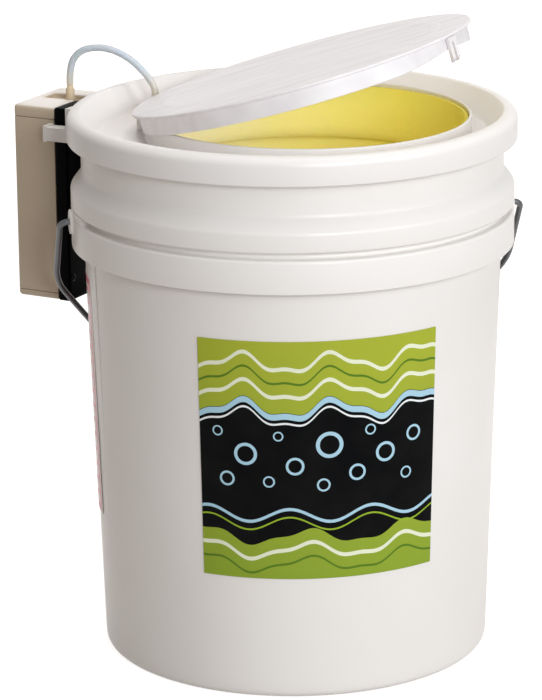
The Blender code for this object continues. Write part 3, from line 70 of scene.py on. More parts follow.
BAIL_REACH = 0.246
GRIP_HALF = 0.055
GRIP_RADIUS = 0.0125
GRIP_STANDOFF = 0.0045
FOAM_THICKNESS = 0.0187
FOAM_FLOOR_TOP = 0.0228
LID_RADIUS = 0.1545
LID_UNDER = 0.3762
LID_BOTTOM = 0.3605
LID_BORE = 0.1520
CREST = 0.3800
CREST_RADIUS = 0.1475
EDGE_DROP = 0.0065
DISH_FOOT = 0.1337
DISH_TOP = 0.1449
CHANNEL_FLOOR = 0.3632
CHANNEL_UNDER = 0.3610
COLLAR_RADIUS = 0.1115
COLLAR_BORE = 0.1095
COLLAR_TOP = 0.3769
COLLAR_OFFSET = 0.0120
LID_FOAM_BOTTOM = 0.3342
LID_FOAM_TOP = 0.3607
HATCH_RADIUS = 0.1200
HATCH_SKIRT_RADIUS = 0.1165
HATCH_SKIRT_WALL = 0.0025
HATCH_UNDER = 0.0032          # from the hinge's axis, as the next one
HATCH_TOP = 0.0054
HINGE_REACH = 0.1148
HINGE_DISTANCE = 0.1028
HINGE_HEIGHT = 0.3740
BARREL_RADIUS = 0.0027
HATCH_TURN = math.radians(-25.5)
HATCH_OPEN = math.radians(15.9)
LATCH_TURN = math.radians(-12.5)
PUMP_TURN = math.radians(143.0)
PUMP_BACK = 0.1620
SEAM_X = 0.1720
CASE_X = 0.2055
CASE_HALF = 0.0315
CASE_WALL = 0.0020
COVER_WALL = 0.0018
CAP_UNDER = 0.3644
PUMP_TOP = 0.3701
PUMP_BOTTOM = 0.2308
CASE_TOP = 0.3616
CASE_BOTTOM = 0.2356
RECESS_FLOOR = 0.3666
RAIL_TOP = 0.3581
ARM_WIDTH = 0.0097
PAD_HEIGHT = 0.0150
SCREW_HEAD_RADIUS = 0.0026
SCREW_HEAD = 0.0014
SWITCH_X, SWITCH_Y = 0.1682, -0.0075
NIPPLE_X, NIPPLE_Y = 0.1810, -0.0060
NIPPLE_TIP = 0.3789
FITTING_TURN = math.radians(134.5)
FITTING_DISTANCE = 0.1195
FITTING_TOP = 0.3738
FITTING_BOTTOM = 0.3520
HOSE_RADIUS = 0.0025
HOSE_BORE = 0.0016            # guessed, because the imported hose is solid
STONE_DISTANCE = 0.1035
STONE_TOP = 0.0536
STONE_BOTTOM = 0.0236


def shift(x=0.0, y=0.0, z=0.0):
    """A move along the three axes."""
    return Matrix.Translation((x, y, z))


def spin(angle, axis="Z"):
    """A turn round an axis through the origin."""
    return Matrix.Rotation(angle, 4, axis)


PUMP = spin(PUMP_TURN)
LID = spin(HATCH_TURN)
HATCH = LID @ shift(-HINGE_DISTANCE, 0.0, HINGE_HEIGHT) @ spin(-HATCH_OPEN, "Y")
COLLAR_CENTRE = LID @ Vector((COLLAR_OFFSET, 0.0, 0.0))
OUTWARD = Vector((math.cos(FITTING_TURN), math.sin(FITTING_TURN), 0.0))
FITTING_SPOT = OUTWARD * FITTING_DISTANCE

# Camera and light
CAMERA_DISTANCE = 2.6
CAMERA_RISE = math.radians(16.2304)
CAMERA_TURN = math.radians(-9.0)
CAMERA_ROLL = math.radians(-0.45)
AIM_HEIGHT = 0.19
FOCAL = 3722.38               # in the photograph's pixels
FRAME_WIDTH, FRAME_HEIGHT = 542, 700
AIM_X, AIM_Y = 293.98, 374.29  # where the aim point falls in the photograph
SENSOR = 36.0                 # millimetres, and the lens follows it
VIEW = Matrix.Rotation(CAMERA_TURN, 3, "Z")   # from the camera's directions to the frame's


def make_camera():
    """The photograph's camera, turned so that the aim point falls off the middle."""
    spot = Vector((0.0, -CAMERA_DISTANCE * math.cos(CAMERA_RISE),
                   AIM_HEIGHT + CAMERA_DISTANCE * math.sin(CAMERA_RISE)))
    ahead = Vector((0.0, math.cos(CAMERA_RISE), -math.sin(CAMERA_RISE)))
    side = Vector((1.0, 0.0, 0.0))
    up = side.cross(ahead)
    right = side * math.cos(CAMERA_ROLL) + up * math.sin(CAMERA_ROLL)
    up = up * math.cos(CAMERA_ROLL) - side * math.sin(CAMERA_ROLL)
    ahead = (ahead + right * ((FRAME_WIDTH / 2 - AIM_X) / FOCAL)
             - up * ((FRAME_HEIGHT / 2 - AIM_Y) / FOCAL)).normalized()
    right = ahead.cross(up).normalized()
    up = right.cross(ahead)
    matrix = Matrix((VIEW @ right, VIEW @ up, VIEW @ -ahead)).transposed().to_4x4()
    matrix.translation = VIEW @ spot
    data = bpy.data.cameras.new("camera")
    data.sensor_fit = "VERTICAL"
    data.sensor_height = SENSOR
    data.lens = SENSOR * FOCAL / FRAME_HEIGHT
    camera = bpy.data.objects.new("camera", data)
    camera.matrix_world = matrix
    bpy.context.scene.collection.objects.link(camera)
    bpy.context.scene.camera = camera


def make_lamp(name, spot, aim, size, power, colour, mirrored):
    """A square soft box. Its place is seen from the camera: x to the right, y away."""
    spot, aim = VIEW @ Vector(spot), VIEW @ Vector(aim)
    data = bpy.data.lights.new(name, "AREA")
    data.size = size
    data.energy = power
    data.color = colour
    lamp = bpy.data.objects.new(name, data)
    lamp.location = spot
    lamp.rotation_euler = (spot - aim).to_track_quat("Z", "Y").to_euler()
    lamp.visible_camera = False
    lamp.visible_glossy = mirrored
    bpy.context.scene.collection.objects.link(lamp)


def split_by_use(tree, seen, lighting, target):
    """One shader where a surface is seen, looked through or mirrored, another where it lights."""
    nodes, links = tree.nodes, tree.links
    path = nodes.new("ShaderNodeLightPath")
    share = path.outputs["Is Camera Ray"]
    for output in ("Is Transmission Ray", "Is Glossy Ray"):
        either = nodes.new("ShaderNodeMath")
        either.operation = "MAXIMUM"
        links.new(share, either.inputs[0])
        links.new(path.outputs[output], either.inputs[1])
        share = either.outputs[0]
    mix = nodes.new("ShaderNodeMixShader")
    for socket, source in zip(mix.inputs, (share, lighting.outputs[0], seen.outputs[0])):
        links.new(source, socket)
    links.new(mix.outputs[0], target.inputs["Surface"])


def make_world():
    """A plain, soft and slightly warm surround, which is white where it is seen or mirrored."""
    world = bpy.data.worlds.new("surround")
    bpy.context.scene.world = world
    world.use_nodes = True
    nodes = world.node_tree.nodes
    soft = nodes["Background"]
    soft.inputs["Color"].default_value = (1.0, 0.90, 0.80, 1.0)
    soft.inputs["Strength"].default_value = 0.20
    white = nodes.new("ShaderNodeBackground")
    white.inputs["Color"].default_value = (1.0, 1.0, 1.0, 1.0)
    white.inputs["Strength"].default_value = 1.0
    split_by_use(world.node_tree, white, soft, nodes["World Output"])


def make_floor():
    """A pale floor that keeps a soft shadow and is white to the camera."""
    mesh = bpy.data.meshes.new("floor")
    half = 4.0
    mesh.from_pydata([(-half, -half, 0), (half, -half, 0), (half, half, 0), (-half, half, 0)],
                     [], [(0, 1, 2, 3)])
    floor = bpy.data.objects.new("floor", mesh)
    floor.location.z = -0.0005
    bpy.context.scene.collection.objects.link(floor)
    material = bpy.data.materials.new("floor_white")
    material.use_nodes = True
    nodes, links = material.node_tree.nodes, material.node_tree.links
    shader = nodes["Principled BSDF"]
    shader.inputs["Base Color"].default_value = (0.50, 0.46, 0.43, 1.0)
    shader.inputs["Roughness"].default_value = 0.9
    shader.inputs["Specular IOR Level"].default_value = 0.1
    glow = nodes.new("ShaderNodeEmission")
    glow.inputs["Strength"].default_value = 0.86
    both = nodes.new("ShaderNodeAddShader")
    links.new(shader.outputs[0], both.inputs[0])
    links.new(glow.outputs[0], both.inputs[1])
    split_by_use(material.node_tree, both, shader, nodes["Material Output"])
    mesh.materials.append(material)


# Materials
def tone(red, green, blue):
    """A screen colour of 0 to 255 as linear light."""
    made = []
    for value in (red, green, blue):
        value /= 255.0
        made.append(value / 12.92 if value <= 0.04045 else ((value + 0.055) / 1.055) ** 2.4)
    return (*made, 1.0)


class Finish:
    """A Principled material built from nodes in the frame's own coordinates."""

    def __init__(self, name, **fixed):
        self.material = bpy.data.materials.new(name)
        self.material.use_nodes = True
        self.tree = self.material.node_tree
        self.shader = self.fill(self.tree.nodes["Principled BSDF"], **fixed)
        self.place = self.node("TexCoord").outputs["Object"]
        self.normal = None

    def feed(self, socket, value):
        """A value or another node's output into a socket."""
        if isinstance(value, bpy.types.NodeSocket):
            self.tree.links.new(value, socket)
        else:
            socket.default_value = value

    def fill(self, node, **inputs):
        """A node whose inputs, named with _ for a space, are fed."""
        for name, value in inputs.items():
            self.feed(node.inputs[name.replace("_", " ")], value)
        return node

    def node(self, kind, **inputs):
        """A new node with its inputs fed."""
        return self.fill(self.tree.nodes.new("ShaderNode" + kind), **inputs)

    def calc(self, operation, *values):
        """One step of arithmetic."""
        node = self.node("Math")
        node.operation = operation
        for socket, value in zip(node.inputs, values):
            self.feed(socket, value)
        return node.outputs[0]

    def noise(self, scale, detail, stretch=None):
        """Noise from 0 to 1, in coordinates that may be stretched first."""
        place = self.place
        if stretch:
            place = self.node("Mapping", Vector=place, Scale=stretch).outputs[0]
        return self.node("TexNoise", Vector=place, Scale=scale, Detail=detail).outputs["Fac"]

    def cells(self, scale):
        """Distance in a pattern of random cells."""
        return self.node("TexVoronoi", Vector=self.place, Scale=scale).outputs["Distance"]

    def between(self, value, low, high, start=0.0, end=1.0):
        """A value's range made into another range."""
        return self.node("MapRange", Value=value, From_Min=low, From_Max=high, To_Min=start,
                         To_Max=end).outputs[0]

    def mix(self, share, first, second):
        """A colour between two others."""
        node = self.node("Mix")
        node.data_type = "RGBA"
        colours = [socket for socket in node.inputs if socket.type == "RGBA"]
        for socket, value in zip((node.inputs["Factor"], *colours), (share, first, second)):
            self.feed(socket, value)
        return next(socket for socket in node.outputs if socket.type == "RGBA")

    def parts(self):
        """The three coordinates, one by one."""
        return self.node("SeparateXYZ", Vector=self.place).outputs

    def bump(self, height, distance):
        """Relief of so many metres, on top of any relief before it."""
        node = self.node("Bump", Strength=1.0, Distance=distance, Height=height)
        if self.normal:
            self.feed(node.inputs["Normal"], self.normal)
        self.normal = node.outputs[0]
        self.feed(self.shader.inputs["Normal"], self.normal)

    def colour(self, share, first, second):
        """The surface's colour, between two others."""
        self.feed(self.shader.inputs["Base Color"], self.mix(share, first, second))

    def rough(self, value, *span):
        """The surface's roughness, from a value's range made into another."""
        self.feed(self.shader.inputs["Roughness"], self.between(value, *span))


def moulded(name, light, dark, rough=(0.30, 0.42), peel=0.00006, **fixed):
    """Moulded plastic: cloudy tone, faint scuffs, orange peel and fine grain."""
    made = Finish(name, **fixed)
    cloud = made.noise(9.0, 2.0)
    worn = made.between(made.noise(60.0, 4.0, (1.0, 1.0, 9.0)), 0.62, 0.78)
    made.colour(made.calc("MULTIPLY", worn, 0.35),
                made.mix(made.between(cloud, 0.20, 0.80), light, dark), dark)
    gloss = made.between(cloud, 0.25, 0.75, *rough)
    made.feed(made.shader.inputs["Roughness"],
              made.calc("ADD", gloss, made.calc("MULTIPLY", worn, 0.08)))
    made.bump(made.noise(260.0, 2.0), peel)
    made.bump(made.noise(1900.0, 1.0), peel * 0.25)
    return made


def streaked(name, light, dark):
    """Moulded plastic with the fine streaks of its filling, along the hatch."""
    made = Finish(name)
    streak = made.noise(42.0, 5.0, (0.35, 3.2, 1.0))
    made.colour(made.between(made.noise(11.0, 2.0), 0.3, 0.7, 0.0, 0.35),
                made.mix(made.between(streak, 0.32, 0.70), light, dark), light)
    made.rough(streak, 0.30, 0.70, 0.29, 0.44)
    made.bump(made.noise(260.0, 2.0), 0.000012)
    return made


def beige_with_painted_top_sheen(name, colour, pale):
    """Beige plastic with a fine grain, whose top face is painted pale: a painted sheen of the light
    from above.
    """
    made = Finish(name)
    cloud = made.noise(30.0, 3.0)
    # Painted sheen: the top millimetre or so of the cap is painted pale, as the light from above shows
    # it.
    level = made.calc("MULTIPLY_ADD", cloud, 0.0003, made.parts()[2])
    made.colour(made.between(cloud, 0.3, 0.8, 0.0, 0.12),
                made.mix(made.between(level, PUMP_TOP - 0.0012, PUMP_TOP - 0.0002), colour, pale),
                colour)
    made.rough(cloud, 0.25, 0.75, 0.30, 0.42)
    made.bump(made.noise(260.0, 2.0), 0.00005)
    return made


def foam_with_painted_light(name, pale, light, dark):
    """Closed-cell foam: fine cells, faint pits, and painted light: paler towards -X, as if lit there,
    deeper yellow towards +X.
    """
    made = Finish(name, Subsurface_Weight=0.25, Subsurface_Scale=0.006)
    cell = made.cells(620.0)
    # Painted light: the foam is painted near white towards -X and goes deeper yellow towards +X.
    across = made.calc("MULTIPLY_ADD", made.noise(22.0, 4.0), 0.02, made.parts()[0])
    side = made.mix(made.between(across, -0.07, 0.01), pale, light)
    made.colour(made.between(cell, 0.0, 0.9, 0.0, 0.15),
                made.mix(made.between(across, 0.0, 0.10), side, dark), dark)
    made.rough(cell, 0.0, 0.8, 0.62, 0.85)
    made.bump(cell, 0.00012)
    made.bump(made.noise(90.0, 3.0), 0.00020)
    return made


def metal(name, colour, rough, grain, scale):
    """Bright metal with drawn or rolled grain."""
    made = Finish(name, Metallic=1.0)
    line = made.noise(scale, 3.0, grain)
    dull = tuple(value * 0.72 for value in colour[:3]) + (1.0,)
    made.colour(made.between(made.noise(35.0, 2.0), 0.35, 0.75), colour, dull)
    made.rough(line, 0.30, 0.70, *rough)
    made.bump(line, 0.00002)
    return made


def soft_black(name):
    """Black rubber: matt, with fine grain and dusty patches."""
    made = Finish(name)
    cloud = made.noise(40.0, 4.0)
    made.colour(cloud, tone(26, 26, 27), tone(52, 51, 50))
    made.rough(cloud, 0.3, 0.7, 0.65, 0.85)
    made.bump(made.noise(900.0, 2.0), 0.0001)
    return made


def clear_hose(name):
    """Clear vinyl hose: bluish where it arches free, creamy at its ends, with a fine grain."""
    made = Finish(name, Transmission_Weight=0.25, IOR=1.38, Subsurface_Weight=0.15,
                  Subsurface_Scale=0.002)
    cloud = made.noise(120.0, 3.0)
    made.colour(made.between(made.parts()[2], 0.380, 0.3925), tone(240, 232, 216),
                made.mix(cloud, tone(228, 234, 240), tone(216, 226, 234)))
    made.rough(cloud, 0.3, 0.7, 0.29, 0.38)
    made.bump(made.noise(400.0, 2.0), 0.00008)
    return made


def pumice(name):
    """Porous blue-grey stone."""
    made = Finish(name)
    grit, cloud = made.cells(900.0), made.noise(300.0, 4.0)
    made.colour(cloud, tone(96, 118, 150), tone(150, 166, 190))
    made.rough(grit, 0.0, 0.8, 0.85, 1.0)
    made.bump(grit, 0.0006)
    made.bump(cloud, 0.0004)
    return made


def cell_jacket(name, bottom, pitch):
    """A dry cell's sleeve in two plain colours, by its height over each cell's bottom."""
    made = Finish(name)
    above = made.calc("SUBTRACT", made.parts()[2], bottom)
    height = made.calc("FRACT", made.calc("MULTIPLY", above, 1 / pitch))
    cloud = made.noise(80.0, 2.0)
    made.colour(made.between(height, 0.70, 0.705),
                made.mix(cloud, tone(24, 24, 26), tone(34, 34, 37)), tone(186, 128, 62))
    made.rough(cloud, 0.3, 0.7, 0.29, 0.38)
    made.bump(made.noise(700.0, 1.0), 0.00003)
    return made


PAIL_WHITE = moulded("pail_plastic", tone(241, 238, 235), tone(237, 233, 229))
LID_WHITE = moulded("lid_plastic", tone(240, 237, 235), tone(235, 231, 228), (0.29, 0.38))
HATCH_WHITE = streaked("hatch_plastic", tone(241, 238, 239), tone(229, 224, 227))
CASE_BEIGE = moulded("case_plastic", tone(194, 177, 154), tone(187, 170, 148))
COVER_BLACK = moulded("cover_plastic", tone(3, 3, 4), tone(7, 6, 7), (0.32, 0.44),
                      Specular_IOR_Level=0.02)
# The second, pale colour is the painted sheen on the cap's top face.
CAP_BEIGE = beige_with_painted_top_sheen("cap_plastic", tone(194, 177, 154), tone(242, 236, 230))
BOLT_BLACK = moulded("bolt_black", tone(14, 14, 15), tone(24, 24, 26), (0.35, 0.50), 0.00004,
                     Specular_IOR_Level=0.25)
IVORY = moulded("ivory_plastic", tone(232, 214, 184), tone(218, 196, 162), (0.35, 0.50))
MECHANISM_BLACK = moulded("mechanism_plastic", tone(30, 30, 32), tone(42, 42, 44), (0.40, 0.55))
# The near-white first colour is painted light, on the foam's -X side.
FOAM_YELLOW = foam_with_painted_light("insulation_foam", tone(254, 249, 226), tone(254, 243, 168),
                          tone(252, 235, 112))
WIRE = metal("bail_steel", tone(96, 97, 100), (0.30, 0.44), (1.0, 1.0, 40.0), 90.0)
STEEL = metal("plated_steel", tone(196, 196, 198), (0.30, 0.40), (1.0, 12.0, 1.0), 160.0)
RUBBER = soft_black("seal_rubber")
HOSE = clear_hose("hose_vinyl")
STONE = pumice("stone_pumice")
JACKET = cell_jacket("cell_sleeve", 0.2344, 0.0618)

# Mesh making
SOFT_ANGLE = math.radians(35.0)   # edges sharper than this are rounded
SMOOTH_ANGLE = math.radians(32.0)  # edges blunter than this are shaded smooth
TUBE_SIDES = 24


def loft(rows, ring=False, capped=False):
    """A mesh through rows of points. A ring closes each row; caps close the ends, or else
    the last row joins the first."""
    work = bmesh.new()
    grid = [[work.verts.new(point) for point in row] for row in rows]
    pairs = list(zip(grid, grid[1:]))
    if not capped:
        pairs.append((grid[-1], grid[0]))
    count = len(grid[0])
    for here, after in pairs:
        for number in range(count if ring else count - 1):
            beside = (number + 1) % count
            work.faces.new((here[number], after[number], after[beside], here[beside]))
    if capped:
        work.faces.new(reversed(grid[0]))
        work.faces.new(grid[-1])
    bmesh.ops.remove_doubles(work, verts=work.verts, dist=1e-6)
    bmesh.ops.dissolve_degenerate(work, edges=work.edges, dist=1e-7)
    bmesh.ops.recalc_face_normals(work, faces=work.faces)
    return solid_from(work)


def solid_from(work):
    """An object from a bmesh."""
    mesh = bpy.data.meshes.new("shape")
    work.to_mesh(mesh)
    work.free()
    made = bpy.data.objects.new("shape", mesh)
    bpy.context.scene.collection.objects.link(made)
    return made


def fillet(corner, before, after, radius, count):
    """Points of an arc that rounds the corner between two straight runs."""
    towards = (before - corner).normalized()
    away = (after - corner).normalized()
    half = towards.angle(away) / 2
    centre = corner + (towards + away).normalized() * radius / math.sin(half)
    start = corner + towards * radius / math.tan(half) - centre
    end = corner + away * radius / math.tan(half) - centre
    sweep = start.angle(end)
    return [centre + (start * math.sin((1 - n / count) * sweep)
                      + end * math.sin(n / count * sweep)) / math.sin(sweep)
            for n in range(count + 1)]


def rounded(profile, closed, steps):
    """A profile's points (radius, height, fillet, share), their corners filleted."""
    spots = [(*point, 0.0, 0.0)[:4] for point in profile]
    count = len(spots)
    made = []
    for number, (radius, height, size, share) in enumerate(spots):
        if size <= 0 or (not closed and number in (0, count - 1)):
            made.append((radius, height, share))
            continue
        here, before, after = (Vector(spots[index % count][:2])
                               for index in (number, number - 1, number + 1))
        half = (before - here).angle(after - here) / 2
        side = min((before - here).length, (after - here).length)
        size = min(size, side * 0.48 * math.tan(half))
        made += [(spot.x, spot.y, share) for spot in fillet(here, before, after, size, steps)]
    return made


def turned(profile, sides=180, closed=False, offset=(0.0, 0.0), steps=4):
    """A filleted profile turned round Z. A point's share moves its circle by that share of
    offset."""
    outline = rounded(profile, closed, steps)
    rows = []
    for number in range(sides):
        angle = math.tau * number / sides
        rows.append([(radius * math.cos(angle) + offset[0] * share,
                      radius * math.sin(angle) + offset[1] * share, height)
                     for radius, height, share in outline])
    return loft(rows, closed)


def block(low, high):
    """A box between two corners."""
    work = bmesh.new()
    bmesh.ops.create_cube(work, size=1.0)
    low, high = Vector(low), Vector(high)
    bmesh.ops.scale(work, vec=high - low, verts=work.verts)
    bmesh.ops.translate(work, vec=(low + high) / 2, verts=work.verts)
    return solid_from(work)


def slab(x, y, half_x, half_y, low, high):
    """A box centred on x and y, from one height to another."""
    return block((x - half_x, y - half_y, low), (x + half_x, y + half_y, high))


def rod(radius, start, end):
    """A cylinder from one point to another."""
    start, end = Vector(start), Vector(end)
    work = bmesh.new()
    bmesh.ops.create_cone(work, cap_ends=True, segments=32, radius1=radius, radius2=radius,
                          depth=(end - start).length)
    turn = (end - start).to_track_quat("Z", "Y").to_matrix().to_4x4()
    turn.translation = (start + end) / 2
    bmesh.ops.transform(work, matrix=turn, verts=work.verts)
    return solid_from(work)


def settle(made):
    """The object's modifiers made into its mesh."""
    bpy.context.view_layer.update()
    depsgraph = bpy.context.evaluated_depsgraph_get()
    mesh = bpy.data.meshes.new_from_object(made.evaluated_get(depsgraph))
    made.modifiers.clear()
    old, made.data = made.data, mesh
    bpy.data.meshes.remove(old)
    return made


def combine(made, operation, others):
    """Booleans with helper solids, which are then removed."""
    for other in others:
        boolean = made.modifiers.new(operation, "BOOLEAN")
        boolean.operation = operation
        boolean.solver = "EXACT"
        boolean.object = other
    settle(made)
    for other in others:
        remove(other)
    return made


def cut(made, *others):
    return combine(made, "DIFFERENCE", others)


def join(made, *others):
    return combine(made, "UNION", others)


def remove(made):
    mesh = made.data
    bpy.data.objects.remove(made)
    bpy.data.meshes.remove(mesh)


def gather(made, *others):
    """Loose solids put into one object."""
    work = bmesh.new()
    for other in (made, *others):
        work.from_mesh(other.data)
    work.to_mesh(made.data)
    work.free()
    for other in others:
        remove(other)
    return made


def soften(made, width, segments=2):
    """Rounded edges."""
    bevel = made.modifiers.new("round", "BEVEL")
    bevel.width = width
    bevel.segments = segments
    bevel.limit_method = "ANGLE"
    bevel.angle_limit = SOFT_ANGLE
    return settle(made)


def place(made, matrix):
    """The mesh moved into the frame."""
    made.data.transform(matrix)
    made.data.update()
    return made


def show(made, name, body, finish, node, matrix=None):
    """A finished piece: its name, body, material and the node it stands for."""
    if matrix:
        place(made, matrix)
    made.name = made.data.name = name
    made.data.materials.clear()
    made.data.materials.append(finish.material)
    made.data.polygons.foreach_set("material_index", [0] * len(made.data.polygons))
    made.data.polygons.foreach_set("use_smooth", [True] * len(made.data.polygons))
    made.data.set_sharp_from_angle(angle=SMOOTH_ANGLE)
    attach(made, body)
    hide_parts(node)


def on_pump(made, name, finish, node, body="lid"):
    """A finished piece made in the pump's own directions."""
    show(made, name, body, finish, node, PUMP)


def kept(node, finish):
    """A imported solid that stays, with a better finish."""
    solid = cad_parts[node]
    solid.data.materials.clear()
    solid.data.materials.append(finish.material)
    for face in solid.data.polygons:
        face.material_index = 0


def rippled(made, size, scale):
    """A foam or stone surface's slight unevenness."""
    for vertex in made.data.vertices:
        x, y, z = vertex.co
        wave = (math.sin(x * scale + 1.3) * math.sin(y * scale * 1.17 + 0.4)
                + math.sin(z * scale * 0.83 + x * scale * 0.5))
        away = math.hypot(x, y) or 1.0
        vertex.co.x += x / away * wave * size
        vertex.co.y += y / away * wave * size
    return made


def smoothstep(value):
    value = min(1.0, max(0.0, value))
    return value * value * (3.0 - 2.0 * value)


def smooth_route(route, count):
    """Evenly spaced points on one smooth curve through a route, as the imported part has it."""
    knots = [Vector(point) for point in route]
    ends = [knots[0] * 2 - knots[1]] + knots + [knots[-1] * 2 - knots[-2]]
    fine = []
    for a, b, c, d in zip(ends, ends[1:], ends[2:], ends[3:]):
        for step in range(12):
            t = step / 12
            fine.append(0.5 * (2 * b + (c - a) * t + (2 * a - 5 * b + 4 * c - d) * t * t
                               + (3 * b - a - 3 * c + d) * t ** 3))
    fine.append(knots[-1])
    lengths = [0.0]
    for first, second in zip(fine, fine[1:]):
        lengths.append(lengths[-1] + (second - first).length)
    spots = []
    index = 0
    for number in range(count):
        target = lengths[-1] * number / (count - 1)
        while index < len(lengths) - 2 and lengths[index + 1] < target:
            index += 1
        share = (target - lengths[index]) / (lengths[index + 1] - lengths[index])
        spots.append(fine[index].lerp(fine[index + 1], share))
    return spots


def circles(points, radius):
    """Rings of points square to a line, without twist."""
    rings = []
    side = None
    for number, point in enumerate(points):
        before = points[max(number - 1, 0)]
        after = points[min(number + 1, len(points) - 1)]
        along = (after - before).normalized()
        if side is None:
            side = along.orthogonal().normalized()
        side = (side - along * side.dot(along)).normalized()
        other = along.cross(side)
        rings.append([point + side * radius * math.cos(math.tau * step / TUBE_SIDES)
                      + other * radius * math.sin(math.tau * step / TUBE_SIDES)
                      for step in range(TUBE_SIDES)])
    return rings


bpy.context.scene.view_settings.view_transform = "Standard"
make_camera()
make_lamp("key", (2.25, -1.62, 1.35), (0.0, 0.0, 0.2), 1.3, 27.5, (0.90, 0.95, 1.0), True)
make_lamp("front", (0.90, -2.74, 1.15), (0.0, 0.0, 0.3), 1.0, 42.0, (0.92, 0.96, 1.0), True)
make_lamp("over", (0.1, 0.0, 2.3), (0.0, 0.0, 0.3), 1.5, 21.0, (1.0, 0.98, 0.96), False)
make_lamp("back", (-0.3, 2.6, 1.2), (0.0, 0.0, 0.25), 1.2, 14.0, (0.95, 0.97, 1.0), False)
# A small lamp down in the well, behind the near wall, lights the lining.
make_lamp("well", (-0.01, -0.05, 0.25), (0.03, 0.12, 0.36), 0.12, 0.075, (1.0, 1.0, 1.0), False)
make_world()
make_floor()


# Air hoses, as tubes along smooth routes
def outer_hose_route():
    """The arch from the nipple's tip to the lid's fitting, in the plane through both."""
    start = PUMP @ Vector((NIPPLE_X, NIPPLE_Y, 0.0))
    along = FITTING_SPOT - start
    span = along.length
    along.normalize()
    tip, top = NIPPLE_TIP, FITTING_TOP
    route = [
        (0.0, tip + GAP), (0.0005, tip + 0.009), (0.0030, tip + 0.0180),
        (0.0100, tip + 0.0248), (0.0210, tip + 0.0275), (0.0330, tip + 0.0262),
        (0.0450, tip + 0.0208), (0.0550, tip + 0.0125), (span - 0.0026, top + 0.0100),
        (span - 0.0002, top + 0.0045), (span, top + GAP),
    ]
    return [start + along * run + Vector((0.0, 0.0, height)) for run, height in route]


def inner_hose_route():
    """From under the fitting down to the stone near the foam floor."""
    across, down = FITTING_DISTANCE - STONE_DISTANCE, FITTING_BOTTOM - STONE_TOP
    route = [(FITTING_DISTANCE, FITTING_BOTTOM - GAP), (FITTING_DISTANCE, FITTING_BOTTOM - 0.030)]
    for inward, drop in ((0.0625, 0.208), (0.25, 0.375), (0.50, 0.543), (0.75, 0.710),
                         (0.94, 0.861)):
        route.append((FITTING_DISTANCE - across * inward, FITTING_BOTTOM - down * drop))
    route += [(STONE_DISTANCE, STONE_TOP + 0.012), (STONE_DISTANCE, STONE_TOP + GAP)]
    return [OUTWARD * distance + Vector((0.0, 0.0, height)) for distance, height in route]


for cord_name, node, route, count, stiffness, lay in (
        ("hose_arch", "air_hose_outer", outer_hose_route(), 64, "stiff", "loose"),
        ("hose_drop", "air_hose_inner", inner_hose_route(), 72, "medium", "hanging")):
    line = smooth_route(route, count)
    hose = loft(circles(line, HOSE_RADIUS) + circles(line, HOSE_BORE)[::-1], ring=True)
    show(hose, cord_name, "lid", HOSE, node)


# Pail
def wall_radius(height):
    """Outer radius of the pail's tapered wall at a height."""
    return BASE_RADIUS + WALL_TAPER * height


def pail_angles():
    """Even steps round the pail, finer where the grooves end beside the ears."""
    coarse, fine, fine_from = 2.0, 0.25, 9.0
    angles = {round(number * coarse, 3) for number in range(180)}
    for ear in (0.0, 180.0):
        for side in (-1.0, 1.0):
            angles |= {round((ear + side * (fine_from + number * fine)) % 360.0, 3)
                       for number in range(25)}
    return [math.radians(angle) for angle in sorted(angles)]


def ear_filled(angle, radius, height):
    """A point of the pail's side, moved out where the ear blocks fill the groove and skirt."""
    slack, groove_blend, skirt_blend = 0.0001, 0.0035, 0.001
    across = abs(RING_RADIUS * math.sin(angle))
    low, high = SKIRT_TOP, RING_BOTTOM
    if low - slack <= height <= high + slack and radius < RING_RADIUS:
        half = (high - low) / 2
        off = min(1.0, abs(height - (low + high) / 2) / half)
        edge = EAR_HALF + half * (1.0 - math.sqrt(1.0 - off * off))
        share = smoothstep((edge + groove_blend - across) / groove_blend)
        return radius + (RING_RADIUS - radius) * share, height
    if SKIRT_BOTTOM < height < SKIRT_TOP and radius < RING_RADIUS - 0.001:
        share = smoothstep((EAR_HALF + skirt_blend - across) / skirt_blend)
        level = SKIRT_BOTTOM + 0.0002 + (height - SKIRT_BOTTOM) * 0.004
        return radius, height + (level - height) * share
    return radius, height


